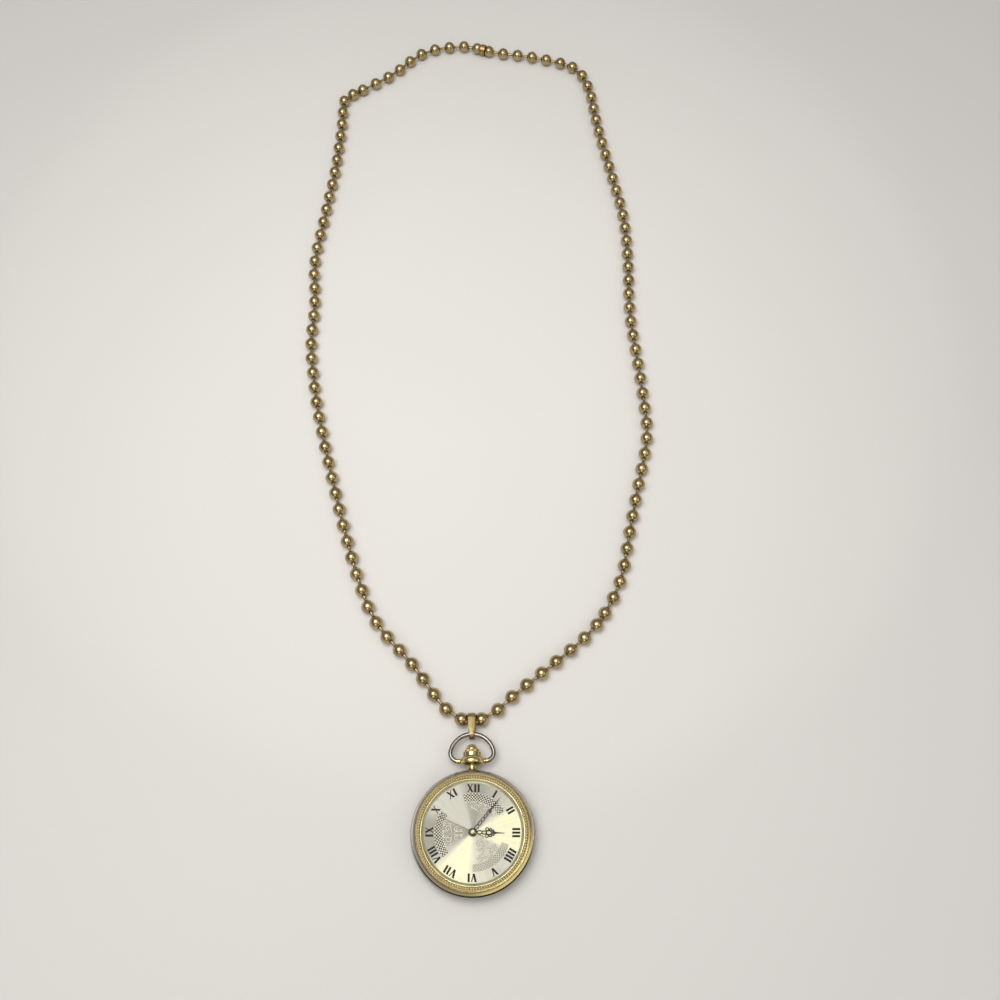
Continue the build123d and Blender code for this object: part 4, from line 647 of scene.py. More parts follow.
def slope_share(rim, across, upward, reach, least=0.0):
    """Function of the nodes for a tone on the bezel's slope. The tone comes in between the two
    radii of rim, and between the two values of across * x + upward * y in reach."""
    def share(n):
        lean = n.maths("MULTIPLY_ADD", n.x, across, n.times(n.y, upward))
        return n.times(n.span_mm(n.polar()[0], *rim), n.span_mm(lean, *reach, least, 1.0))
    return share


def notched(grid, half_width=1.5, low=1.0, inner=15.3):
    """Cuts the opening notch into the back's rim, on the side away from the pendant: above
    its floor no point there lies farther out than the notch's inner wall."""
    x, y, z = np.moveaxis(grid, -1, 0)
    radius = np.hypot(x, y)
    inside = (np.abs(x) < half_width) & (y < 0) & (z > low)
    shrink = np.where(inside, inner / np.maximum(radius, inner), 1.0)
    return grid * stacked(shrink, shrink, 1.0)


def knurled_ring(foot):
    """Half-round ring cut by slanted teeth: the height over the foot is
    h sin(pi s) (1 - d (1 - cos(N (a + lean s))) / 2)."""
    teeth, inner, outer, height, depth, lean = 130, 13.93, 14.85, 0.30, 0.95, 0.03
    turn = turns(teeth * 6)[:, None]
    s = np.linspace(0, 1, 9)
    cut = 0.5 - 0.5 * np.cos(teeth * (turn + lean * s))
    radius = 0.5 * (inner + outer) + 0.5 * (outer - inner) * np.cos(np.pi * s)
    top = circled(radius, turn, foot + height * np.sin(np.pi * s) * (1 - depth * cut))
    # The sharpness paints shade into the cuts between the teeth
    return grid_part(top, True, True, (1 - 2 * cut) * np.sin(np.pi * s))


class WATCH_OT_case(WatchOperator, bpy.types.Operator):
    """Make the case middle, the back and the bezel with its knurled ring"""
    bl_idname = "watch.case"
    bl_label = "Case and bezel"

    def make(self, sizes, colours, stage):
        # Painted shade: a nearly black line in the join between bezel and case middle, away from
        # the pendant
        seam_shade = (tone(colours.side, 0.03), seam_shade_share)
        plate = tone(colours.side, 0.70)
        # A taupe tone on the bezel's outer slope, full towards the upper left and a tenth at the
        # lower right
        taupe_upper_left = (plate, slope_share((15.05, 15.3), -0.5, 1.0, (-12.0, 3.0), 0.1))
        # Painted highlight: pale gold on the bezel's slope towards the lower right
        slope_highlight = (tone(colours.gold, 1.6), slope_share((14.85, 15.0), 0.7, -0.7, (10.0, 14.5)))
        side = metal("case_plate", plate, 0.20, 0.22, 2.6, 0.04, others=(seam_shade,))
        middle = outline((14.3, 1.35), (16.0, 1.35), (16.8, 3.3, 0.14, 9), (16.35, 5.7, 0.14, 9),
                         (15.1, 5.7), (15.1, Z_COLLAR), (14.3, Z_COLLAR))
        make_piece("case_middle_shell", [lathed(middle, 0.12, 320)], side,
                   ["case_middle"])
        back = outline((0.0, 0.0), (6.0, 0.0), (12.5, 0.0), (15.9, 1.3, 0.3, 10), (14.25, 1.3),
                       (14.25, 2.3), (13.7, 2.3), (13.7, 1.25), (12.5, 0.5, -0.12, 5), (0.0, 0.5))
        steel = metal("back_steel", colours.side, 0.24, 0.20, 4.0, 0.30, spun=True)
        make_piece("case_back_shell", [lathed(back, 0.10, 360, False, notched)], steel,
                   ["case_back"])
        floor = Z_CREST - 0.16
        bezel = outline((15.12, 5.75), (16.15, 5.75), (16.15, 6.13), (15.2, Z_CREST, 0.24, 12),
                        (15.08, floor), (13.9, floor), (13.9, 7.37), (14.77, 7.37), (14.77, 6.97),
                        (15.12, 6.97))
        profile, sharp = soft_profile(bezel, 0.06)
        # Painted shade in the groove of the bezel's floor, inside its crest
        sharp[(profile[:, 1] < floor + 0.03) & (profile[:, 1] > floor - 0.01)] = -0.8
        gold = metal("bezel_gold", tone(colours.gold, 0.66), 0.18, 0.16, 3.0, 0.02,
                     others=(taupe_upper_left, slope_highlight, seam_shade))
        make_piece("bezel_shell", [grid_part(revolved(profile, 360), True, True, sharp)], gold,
                   ["bezel"])
        knurl = metal("knurl_gold", tone(colours.gold, 0.95), 0.22, 0.15, 2.0, 0.02)
        make_piece("bezel_knurl", [knurled_ring(floor - 0.02)], knurl, crease=80.0)


class WATCH_OT_crystal(WatchOperator, bpy.types.Operator):
    """Make the domed crystal and the satin ring round the dial"""
    bl_idname = "watch.crystal"
    bl_label = "Crystal and dial ring"

    def make(self, sizes, colours, stage):
        side_top, dome, outer_r, inner_r = Z_COLLAR + 1.1, 0.9, 13.82, 13.1
        r = np.linspace(0, 1, 26)
        outer = stacked(outer_r * r, side_top + dome * (1 - r ** 2))[::-1]
        inner = stacked(inner_r * r, side_top - dome * r ** 2)
        ring = outline((inner_r, Z_COLLAR), (14.75, Z_COLLAR), (14.75, 7.35), (outer_r, 7.35),
                       (outer_r, side_top - 0.12), (outer_r - 0.12, side_top))
        profile = np.concatenate([inner, ring, outer[1:]])
        make_piece("crystal_dome", [grid_part(revolved(profile, 180), True, False)],
                   clear_dome("clear_acrylic", (0.985, 0.985, 0.97, 1.0)), ["crystal"])
        flange = outline((12.95, Z_DIAL), (14.25, Z_DIAL), (14.25, 6.93), (13.75, 6.93),
                         (12.95, Z_DIAL + 0.15, -0.10, 8))
        satin = metal("ring_satin", colours.ring, 0.32, 0.08, 2.0, 0.02, edge_light=1.1)
        make_piece("dial_ring", [lathed(flange, 0.05, 240)], satin, ["dial_flange"])


# Dial: numerals, and three lobes of lattice and scrolls

def dial_turned(points, degrees):
    """Turns points (x, y) clockwise from twelve: +y goes to that hour's direction."""
    return stacked(*turned(points[..., 0], points[..., 1], math.radians(degrees)))


def dial_angle(degrees):
    """Angle about Z of a direction given clockwise from twelve."""
    return np.radians(90.0 - degrees)


NUMERALS = ("XII", "I", "II", "III", "IIII", "V", "VI", "VII", "VIII", "IX", "X", "XI")
THICK, THIN = (0.56, 0.66), (0.25, 0.44)
SERIF = 0.10
LEAN = 0.56
# A letter's width and its strokes: places of foot and head, widths of stroke and serif, and
# whether the foot has a serif too
LETTERS = {
    "I": (0.90, ((0.0, 0.0, THICK, True),)),
    "V": (1.72, ((0.02, -LEAN, THICK, False), (0.04, LEAN, THIN, False))),
    "X": (1.86, ((LEAN, -LEAN, THICK, True), (-LEAN, LEAN, THIN, True))),
}


def stroke(x0, y0, x1, y1, width):
    """Four corners of a stroke with level ends."""
    half = width / 2
    return [(x0 - half, y0), (x0 + half, y0), (x1 + half, y1), (x1 - half, y1)]


def letter(kind, left, height):
    """Strokes of one letter whose left side is at a place, with small serifs."""
    width, rows = LETTERS[kind]
    middle, half = left + width / 2, height / 2
    strokes = []
    for foot, head, (wide, serif), footed in rows:
        foot, head = middle + foot, middle + head
        strokes.append(stroke(foot, -half, head, half, wide))
        strokes.append(stroke(head, half - SERIF, head, half, serif))
        if footed:
            strokes.append(stroke(foot, -half, foot, SERIF - half, serif))
    return strokes


# A lobe's middle in degrees clockwise from twelve, the radius of its knots, how dark the painted
# shade on its ground is, and whether it has the low scrolls too
LOBES = ((22.0, 0.235, 1.0, False), (145.0, 0.13, 0.4, True), (268.0, 0.235, 1.0, True))
# How far the numerals are turned clockwise, in degrees
DIAL_TURN = 1.7
# Two radii and half the angle of the band that carries the lattice, and its ribs
LATTICE = (8.05, 10.15, 36.0)
LATTICE_PITCH = 5.0
LATTICE_SLANT = 13.2
RIB_WIDTH = 0.065
RIB_HEIGHT = 0.05


def volute(centre, outer, inner, start, rounds, count=30):
    """Spiral: centre + r (cos a, sin a), with r falling evenly from outer to inner."""
    t = np.linspace(0, 1, count)
    turn = math.radians(start) + FULL_TURN * rounds * t
    return np.add(centre, circled(outer + (inner - outer) * t, turn))


def scroll_curves(low_ones):
    """Curves of one half lobe in millimetres: x to the side, y away from the dial's centre."""
    wave = np.linspace(0, 2.6, 16)
    curves = [
        volute((1.30, 6.55), 0.95, 0.16, -120, 1.25),
        volute((0.62, 7.45), 0.46, 0.10, 190, -1.1, 20),
        volute((2.45, 7.30), 0.48, 0.10, 250, 1.1, 20),
        volute((2.55, 6.15), 0.40, 0.08, 110, -1.0, 16),
        stacked(np.linspace(0.1, 2.9, 16), 5.35 + 0.55 * np.sin(wave)),
    ]
    if low_ones:
        wave = np.linspace(0, 3.1, 14)
        curves += [
            volute((1.05, 4.35), 0.72, 0.14, -60, 1.2, 24),
            volute((0.62, 3.05), 0.42, 0.08, 130, -1.1, 18),
            stacked(0.12 + 0.35 * np.sin(wave), np.linspace(2.2, 5.2, 14)),
        ]
    return curves


def numeral_part(sizes):
    """The twelve numerals as low prisms, each word centred on its hour's direction."""
    height, place = sizes.numeral_height / MM, sizes.numeral_place / MM
    corners = []
    for hour, word in enumerate(NUMERALS):
        lefts = np.cumsum([0.0] + [LETTERS[kind][0] for kind in word])
        strokes = [box for kind, left in zip(word, lefts - lefts[-1] / 2)
                   for box in letter(kind, left, height)]
        corners.append(dial_turned(np.array(strokes) + [0, place], 30.0 * hour + DIAL_TURN))
    return prism_part(np.concatenate(corners), Z_DIAL - 0.01, Z_DIAL + 0.035)


def ground_part(angle, strength):
    """Matted ground under the lattice, darkened with painted shade between the ribs: a band
    between two circles, which fades out at its ends. The fade times the strength is kept as the
    sharpness: 1 in the middle, 0 at the rim, and it sets how dark the painted shade is."""
    inner, outer, half = LATTICE
    share = np.linspace(-1, 1, 61)
    r = np.linspace(inner - 0.05, outer + 0.05, 12)[:, None]
    top = circled(r, dial_angle(angle + (half + 0.8) * share), Z_DIAL + 0.006)
    fade = np.clip((1 - np.abs(share)) / 0.06, 0, 1) + 0 * r
    fade[[0, -1]] = 0.0
    top[[0, -1], :, 2] -= 0.01
    top[:, [0, -1], 2] -= 0.01
    return grid_part(top, sharp=fade * strength)


def knot_places(angle):
    """Places where ribs of the two families cross: at a share k p / (2 s) of the band, with p
    the pitch and s the slant, and every other row half a pitch aside."""
    inner, outer, half = LATTICE
    share = LATTICE_PITCH / (2 * LATTICE_SLANT)
    row, column = np.meshgrid(np.arange(int(1 / share) + 1), np.arange(-9, 10), indexing="ij")
    start = (-half - LATTICE_SLANT) % LATTICE_PITCH
    across = LATTICE_PITCH * (column + 0.5 * (row % 2)) + start
    keep = np.abs(across) < half - 1.0
    radius = (inner + (outer - inner) * share * row)[keep]
    return circled(radius, dial_angle(angle + across[keep]), Z_DIAL)


def lattice_part(angle):
    """Two families of slanted ribs across the band between two circles, cut off at its ends.
    A rib runs from (r0, f) to (r1, f + slant), and its section is a low roof."""
    inner, outer, half = LATTICE
    start = np.arange(-half - LATTICE_SLANT, half + LATTICE_SLANT + 0.1, LATTICE_PITCH)
    taper = np.array([0.05, 1, 1, 1, 1, 1, 0.05])
    grids = []
    for slant in (-LATTICE_SLANT, LATTICE_SLANT):
        t0, t1 = (np.clip((end - start) / slant, 0, 1) for end in (-half, half))
        low, high = np.minimum(t0, t1), np.maximum(t0, t1)
        keep = high - low > 0.08
        t = low[keep, None] + (high - low)[keep, None] * np.linspace(0, 1, 7)
        turn = dial_angle(angle + start[keep, None] + slant * t)
        line = circled(inner + (outer - inner) * t, turn)
        run = unit(np.gradient(line, axis=1))
        side = RIB_WIDTH * taper[:, None] * stacked(-run[..., 1], run[..., 0])
        rows = []
        for s, rise in ((-1, -0.01), (0, RIB_HEIGHT * taper), (1, -0.01)):
            rows.append(stacked(*np.moveaxis(line + s * side, -1, 0), Z_DIAL + 0.005 + rise))
        grids.append(np.stack(rows, 2))
    # The ribs' feet carry painted shade through their sharpness
    return grid_part(np.concatenate(grids), wrap_v=True, sharp=np.array([-0.6, 1.0, -0.6]))


def scroll_parts(angle, low_ones):
    """Curled ribs, mirrored about the lobe's middle, which thin out to nothing at their ends,
    with beads between them."""
    section = np.array([[-1.9, -0.1], [-1.8, 0.06], [-1.0, 0.12], [-0.6, 0.6], [0.0, 1.0],
                        [0.6, 0.6], [1.0, 0.12], [1.8, 0.06], [1.9, -0.1]]) * [0.13, 0.10]
    # The wide flat feet carry painted shade: a dark line along each scroll
    sharp = np.array([-1, -1, -0.8, 0.3, 1, 0.3, -0.8, -1, -1.0])
    parts = []
    for curve in scroll_curves(low_ones):
        swell = 0.25 + 0.75 * np.sin(np.pi * np.linspace(0, 1, len(curve))) ** 0.5
        swell[[0, -1]] = 0.02
        for way in (1, -1):
            path = stacked(*dial_turned(curve * [way, 1], angle).T, Z_DIAL)
            grid = swept(path, section, (0, 0, 1), scale=swell[:, None])
            parts.append(grid_part(grid, wrap_v=True, sharp=sharp))
    side = np.array([0.0, 1.95, 3.1, 3.35, 0.55])
    out = np.array([5.95, 7.55, 7.45, 6.75, 6.75])
    spots = stacked(np.r_[side, -side[1:]], np.r_[out, out[1:]])
    parts.append(ball_part(stacked(*dial_turned(spots, angle).T, Z_DIAL), 0.14, 0.6))
    return parts


class WATCH_OT_dial(WatchOperator, bpy.types.Operator):
    """Finish the dial and make its numerals, its lattice and its scrolls"""
    bl_idname = "watch.dial"
    bl_label = "Dial"

    def make(self, sizes, colours, stage):
        repaint("dial", dial_metal("dial_champagne", colours.dial, colours.dial_deep))
        matt = dial_metal("dial_matt", colours.dial, colours.dial_deep, matt=True)
        black = paint("numeral_print", colours.print_black, 0.6)
        relief = relief_silver("relief_silver", colours.relief)
        make_piece("dial_numerals", [numeral_part(sizes)], black, crease=30.0)
        grounds, ribs, knots, scrolls = [], [], [], []
        for angle, knot, strength, low_ones in LOBES:
            grounds.append(ground_part(angle, strength))
            ribs.append(lattice_part(angle))
            knots.append(ball_part(knot_places(angle), knot, 0.5, 5, 8))
            scrolls.extend(scroll_parts(angle, low_ones))
        make_piece("dial_lobes", grounds, matt)
        make_piece("dial_lattice", ribs + knots, relief)
        make_piece("dial_scrolls", scrolls, relief)


# Hands

def hub(inner, outer, low, high):
    """Turned collar between two radii."""
    return lathed([[inner, low], [outer, low], [outer, high], [inner, high]], 0.04, 48)


def ribbon(x, y, half_width, half_length, width, low, high, turn):
    """Flat bar with slightly rounded edges along the ellipse (x + a cos t, y + b sin t)."""
    t = turns(28)
    line = dial_turned(stacked(x + half_width * np.cos(t), y + half_length * np.sin(t)), turn)
    path = stacked(*line.T, (low + high) / 2)
    section = bevelled(0.8, 0.5) * [width / 2, (high - low) / 2]
    return grid_part(swept(path, section, (0, 0, 1), closed=True), True, True)


def needle(y0, y1, width0, width1, low, high, turn):
    """Tapered bar with a ridge, from y0 to y1."""
    y, width = np.linspace(y0, y1, 3), np.linspace(width0, width1, 3)
    section = np.array([[-1.0, 0.0], [0.0, 0.0], [1.0, 0.0], [1.0, 0.6], [0.0, 1.0], [-1.0, 0.6]])
    path = stacked(*dial_turned(stacked(0.0, y), turn).T, low)
    grid = swept(path, section, (0, 0, 1), capped=True, scale=stacked(width / 2, high - low))
    return grid_part(grid, False, True)


def hand_parts(rows, low, high, turn):
    """Parts of a hand from rows of numbers: two for its collar, four for a needle and five for a
    ribbon, which has a twin on the other side where it lies off the middle."""
    parts = []
    for row in rows:
        if len(row) == 2:
            parts.append(hub(*row, low, high))
        elif len(row) == 4:
            parts.append(needle(*row, low, high, turn))
        else:
            for way in (-1, 1) if row[0] else (1,):
                parts.append(ribbon(way * row[0], *row[1:], low, high, turn))
    return parts


# Rows of numbers for each hand, as hand_parts reads them
HOUR_ROWS = ((0.80, 1.15), (0, 1.80, 0.44, 0.66, 0.23), (0, 3.02, 0.40, 0.58, 0.22),
             (0, 4.28, 0.52, 0.68, 0.25), (4.9, 5.75, 0.20, 0.78), (5.75, 6.35, 0.78, 0.30),
             (0.86, 3.80, 0.40, 0.38, 0.22), (0.74, 4.72, 0.33, 0.31, 0.24),
             (0.52, 5.42, 0.20, 0.18, 0.20))
MINUTE_ROWS = ((0.57, 0.90), (6.85, 7.50, 0.18, 0.62), (7.50, 8.15, 0.62, 0.30),
               (0, 1.62, 0.42, 0.76, 0.20), (0, 2.98, 0.40, 0.66, 0.20),
               (0, 4.22, 0.38, 0.62, 0.20), (0, 5.36, 0.34, 0.56, 0.20),
               (0, 6.38, 0.27, 0.50, 0.20), (0.26, 7.02, 0.15, 0.20, 0.19))
SECOND_ROWS = ((-3.4, 0.0, 0.26, 0.18),)
# A hand's underside and top, and its direction in degrees clockwise from twelve
HOUR_PLACE = (6.33, 6.45, 92.8)
MINUTE_PLACE = (6.69, 6.79, 40.4)
SECOND_PLACE = (7.03, 7.11, 294.9)


class WATCH_OT_hands(WatchOperator, bpy.types.Operator):
    """Make the pierced hour and minute hands and the thin seconds hand"""
    bl_idname = "watch.hands"
    bl_label = "Hands"

    def make(self, sizes, colours, stage):
        black = paint("hand_black", colours.print_black, 0.25)
        gilt = metal("second_gilt", (0.32, 0.25, 0.14, 1), 0.3)
        brass = metal("hub_brass", (0.24, 0.21, 0.12, 1), 0.22, 0.2, 0.6, 0.1)
        # The last needle of each hand ends at the length that is set
        tip = (6.35, sizes.hour_hand / MM, 0.30, 0.09)
        make_piece("hour_hand_pierced", hand_parts(HOUR_ROWS + (tip,), *HOUR_PLACE), black,
                   ["hour_hand"], "hour_hand")
        tip = (8.15, sizes.minute_hand / MM, 0.30, 0.09)
        make_piece("minute_hand_pierced", hand_parts(MINUTE_ROWS + (tip,), *MINUTE_PLACE), black,
                   ["minute_hand"], "minute_hand")
        tip = (0.0, sizes.second_hand / MM, 0.18, 0.09)
        parts = [hub(0.16, 0.45, SECOND_PLACE[0] - 0.12, SECOND_PLACE[1])]
        parts += hand_parts(SECOND_ROWS + (tip,), *SECOND_PLACE)
        make_piece("second_hand_needle", parts, gilt, ["second_hand"], "second_hand",
                   crease=20.0)
        repaint("cannon_pinion", brass)
        repaint("hour_wheel", brass)


# Pendant, crown, bow and bail

BOW_DROOP = math.radians(4.1)
BOW_PIVOT_Y = 19.35
BOW_HEIGHT = 7.6
BAIL_Y = 31.2
BAIL_Z = 2.0
# Copper showing through the bail's plate, made dark as painted shade under the bow
SHADED_COPPER = (0.26, 0.13, 0.09, 1)


def on_stem(points):
    """Turns a shape made along Z onto the stem's line: (x, y, z) goes to (x, z, stem - y)."""
    x, y, z = np.moveaxis(points, -1, 0)
    return stacked(x, z, Z_STEM - y)


def drooped(points):
    """Turns a shape in the XY plane about the bow's pins, down by the bow's droop."""
    x, y, z = np.moveaxis(points, -1, 0)
    y, z = turned(y, z, BOW_DROOP)
    return stacked(x, BOW_PIVOT_Y + y, Z_STEM + z)


def bow_path(half_width=6.0, height=BOW_HEIGHT, corner=2.3, pin=1.9):
    """Centreline of the bow: a short run from the pin, a round corner, and one wide arc over the
    top that both corners meet."""
    cx, low = half_width - corner, height - corner
    top_radius = (cx ** 2 + low ** 2 - corner ** 2) / (2 * (low - corner))
    meet = math.atan2(corner - (height - top_radius), cx)
    run = stacked(np.linspace(pin, cx, 6, endpoint=False), 0.0)
    bend = circled(corner, np.linspace(-math.pi / 2, meet, 22, endpoint=False)) + [cx, corner]
    top = circled(top_radius, np.linspace(meet, math.pi - meet, 41)) + [0.0, height - top_radius]
    left = np.concatenate([run, bend])[::-1] * [-1, 1]
    return np.concatenate([run, bend, top, left])


def plate_left(n):
    """Gold plate that is left on the bow near its pins: all of it up to 4.1 mm from the middle
    and 1.2 mm above the pins, and none 0.6 mm farther."""
    across = n.span_mm(n.maths("ABSOLUTE", n.x), 4.1, 4.7, 1.0, 0.0)
    return n.times(across, n.span_mm(n.y, BOW_PIVOT_Y + 1.2, BOW_PIVOT_Y + 1.8, 1.0, 0.0))


def copper_and_shade_low(n):
    """Copper that shows through the bail's plate below the bow, darkened with painted shade where
    the bail passes under the bow.
    """
    return n.span_mm(n.y, 27.0, 26.2, 0.0, 0.85)


def crown_part():
    """Turned knob whose skirt is fluted: a point of the skirt moves in by
    0.12 ((1 - cos(N a)) / 2)^1.5."""
    base, skirt, top, outer, knob, flutes = 21.73, 22.38, 23.93, 1.95, 1.62, 28
    corners = outline((0.0, base + 1.4), (0.62, base + 1.4), (0.62, base), (outer, base),
                      (outer, skirt), (knob, skirt), (knob, skirt + 0.35), (0.0, top, 0.42, 12))
    profile, sharp = soft_profile(corners, 0.10, closed=False)
    grid = revolved(profile, flutes * 8)
    on_skirt = np.clip((profile[:, 0] - knob) / (outer - knob), 0, 1)
    cut = on_skirt * (0.5 - 0.5 * np.cos(flutes * turns(flutes * 8)[:, None])) ** 1.5
    grid[..., :2] *= (1 - 0.12 * cut / outer)[..., None]
    # The sharpness paints shade into the flutes
    return grid_part(on_stem(grid), True, False, np.clip(sharp - 1.2 * cut, -1, 1))


def bow_part(wire):
    path = drooped(stacked(*bow_path().T, 0.0))
    normal = (0.0, math.sin(BOW_DROOP), math.cos(BOW_DROOP))
    return grid_part(swept(path, circled(wire, turns(20)), normal, capped=True), False, True)


def collar_part(way):
    """Collar on one of the bow's ends: (x, y, z) goes to (z, x, y), to that side."""
    def place(grid):
        x, y, z = np.moveaxis(grid, -1, 0)
        return drooped(stacked(way * z, x, y))
    return lathed([[0.60, 3.45], [0.86, 3.45], [0.80, 3.80], [0.60, 3.80]], 0.05, 32, place=place)


def bail_part():
    """Flat strap round two circles, one about the chain's link and one about the bow, and
    along the two lines that touch both."""
    link, bow = np.array([BAIL_Y, BAIL_Z]), drooped(np.array([0.0, BOW_HEIGHT, 0.0]))[1:]
    # Half the strap's thickness, and the radius of its middle round the link and round the bow
    half = 0.21
    at_link, at_bow = 1.9 - half, 1.5 - half
    line = bow - link
    heading = math.atan2(line[1], line[0])
    lean = math.acos((at_link - at_bow) / np.linalg.norm(line))
    ends = np.concatenate([
        link + circled(at_link, np.linspace(heading + lean, heading + FULL_TURN - lean, 30)),
        bow + circled(at_bow, np.linspace(heading - lean, heading + lean, 20)),
    ])
    y, z = along(np.r_[ends[-1:], ends], np.linspace(0, 1, 120, endpoint=False)).T
    width = np.interp(y, [BAIL_Y - 3.9, BAIL_Y - 2.4], [1.45, 2.1]) / 2
    section = bevelled(0.75, 0.7)[:, ::-1] * [half, 1.0]
    grid = swept(stacked(0.0, y, z), section, (1, 0, 0), closed=True, scale=stacked(1.0, width))
    edge = 0.8 * np.array([0.3, 0.9, 0.9, 0.3, 0.3, 0.9, 0.9, 0.3])
    return grid_part(grid, True, True, edge)


class WATCH_OT_hangers(WatchOperator, bpy.types.Operator):
    """Make the pendant, the crown, the bow and the bail"""
    bl_idname = "watch.hangers"
    bl_label = "Pendant, crown, bow and bail"

    def make(self, sizes, colours, stage):
        gold = metal("pendant_gold", colours.gold, 0.15, 0.28, 1.3, 0.12)
        steel = metal("bow_steel", colours.steel, 0.14, 0.22, 1.5, 0.15,
                      others=((colours.gold, plate_left),))
        strap = metal("bail_gold", tone(colours.gold, 0.52, 0.04), 0.32, 0.45, 0.8, 0.2,
                      others=((SHADED_COPPER, copper_and_shade_low),))
        pendant = outline(
            (0.66, 14.6), (1.15, 14.6), (1.15, 16.3), (1.70, 16.3), (1.15, 17.25, -0.16, 6),
            (1.15, 18.05), (3.19, 18.55, 0.16, 6), (3.35, 19.35, 0.06, 6), (2.5, 20.5, 0.16, 8),
            (2.5, 21.65), (0.66, 21.65))
        make_piece("pendant_head", [lathed(pendant, 0.09, 96, place=on_stem)], gold,
                   ["pendant"])
        make_piece("crown_knob", [crown_part()], gold, ["crown"], "crown", crease=50.0)
        make_piece("bow_wire", [bow_part(sizes.bow_wire / MM)], steel, ["bow"], "bow")
        make_piece("bow_collars", [collar_part(-1), collar_part(1)], gold, body="bow")
        make_piece("bail_strap", [bail_part()], strap, ["bail"], "bail")


# Ball chain

BEADS = 112
# The gap that the clasp bridges, and the gaps that are tighter than the others
CLASP_GAP = 55
GAP_SHARES = {8: 0.79, 49: 0.90, 55: 0.83, 56: 0.93, 65: 0.75, 66: 0.82}
RIGHT_GAP_SHARE = 0.991
CHAIN_ROUTE = (
    (0.0, 31.2), (4.6, 31.2), (11.6, 37.6), (25.2, 47.9), (36.8, 57.4),
    (44.8, 71.0), (48.0, 86.0), (52.5, 104.5), (56.6, 120.0), (55.3, 146.0),
    (53.6, 165.0), (54.8, 186.0), (54.8, 205.0), (51.5, 224.0), (47.8, 246.0),
    (46.0, 264.5), (42.0, 275.0), (27.5, 280.2), (11.0, 283.0), (0.5, 287.0),
    (-15.5, 284.5), (-26.0, 272.8), (-38.5, 265.0), (-44.3, 261.5),
    (-44.3, 249.0), (-46.0, 227.0), (-48.6, 209.5), (-51.8, 188.0),
    (-50.3, 172.0), (-51.4, 156.5), (-48.6, 135.0), (-44.0, 114.5),
    (-38.5, 92.0), (-33.2, 73.5), (-28.0, 60.0), (-16.6, 47.5),
    (-10.8, 38.6), (-4.8, 31.4), (-0.1, 31.2),
)


def chain_line():
    """The route with each corner rounded by the arc that its two runs leave room for. The points
    are worked out as complex numbers x + i y."""
    points = np.array(CHAIN_ROUTE) @ [1, 1j]
    here = points[1:-1]
    back, ahead = points[:-2] - here, points[2:] - here
    reach = 0.45 * np.minimum(abs(back), abs(ahead))
    back, ahead = back / abs(back), ahead / abs(ahead)
    middle = back + ahead
    half = 0.5 * abs(np.angle(ahead / back))
    centre = here + middle / abs(middle) * reach / np.cos(half)
    start = here + back * reach - centre
    sweep = np.angle((here + ahead * reach - centre) / start)[:, None]
    arcs = centre[:, None] + start[:, None] * np.exp(1j * sweep * np.linspace(0, 1, 40))
    line = np.r_[points[:1], arcs.ravel(), points[-1:]]
    return stacked(line.real, line.imag)


def bead_centres(radius):
    """Centres of the beads: equal steps along the line, but for the gaps that are tighter."""
    shares = np.where(np.arange(BEADS) < CLASP_GAP, RIGHT_GAP_SHARE, 1.0)
    shares[list(GAP_SHARES)] = list(GAP_SHARES.values())
    travel = shares[-1] / 2 + np.r_[0, np.cumsum(shares[:-1])]
    return stacked(*along(chain_line(), travel / shares.sum()).T, radius)


def laid_out(local, axes):
    """A copy of local points (side, up, along) for each of the level axes."""
    up = np.broadcast_to([0.0, 0.0, 1.0], axes.shape)
    return local @ np.stack([np.cross(up, axes), up, axes], -2)[:, None]


def bead_part(centres, ahead, radius, hole, wall=0.35, lip=0.06):
    """Hollow balls with two holes. A point at polar angle p of the outer ball starts as
    R (sin p cos a, sin p sin a, cos p) about the mean of the two hole directions, and the half
    near each hole is then leaned so that the hole faces its neighbour."""
    axes = unit(ahead + np.roll(ahead, 1, 0))
    open_outer, open_inner = math.asin(hole / radius), math.asin(hole / (radius - wall))
    outer = np.linspace(open_outer, np.pi - open_outer, 15)
    inner = np.linspace(np.pi - open_inner, open_inner, 5)
    polar = np.r_[outer[0] + lip, outer[1:-1], outer[-1] - lip, outer[-1] - 0.2 * lip,
                  inner, outer[0] + 0.2 * lip][:, None]
    distance = np.r_[np.full(15, radius), radius - 0.05, np.full(5, radius - wall), radius - 0.05]
    x, y, z = np.moveaxis(circled(np.sin(polar), turns(22), np.cos(polar)), -1, 0)
    lean = np.arcsin(np.clip(np.cross(axes, ahead)[:, 2], -1, 1))
    x, z = turned(x, z, lean[:, None, None] * np.cos(polar))
    ball = distance[:, None, None] * laid_out(stacked(x, y, z), axes)
    # Darker round each hole, where the link goes in: painted shade with tarnish
    near = np.clip((np.abs(np.cos(polar)) - 0.90) / 0.07, 0, 1)
    return grid_part(centres[:, None, None] + ball, True, True, -near)


def link_part(middles, axes, rod, head=0.75, reach=1.6):
    """Dumbbells: a rod between the beads and a round head inside each."""
    half = np.array([reach + 0.18, reach + 0.18, reach - 0.18, reach - 0.2, 0.3])
    wide = np.array([0.0, head, head, rod, rod])
    along_axis = np.r_[-half, 0.0, half[::-1]][:, None]
    local = circled(np.r_[wide, rod * 0.86, wide[::-1]][:, None], turns(10), along_axis)
    return grid_part(middles[:, None, None] + laid_out(local, axes), False, True)


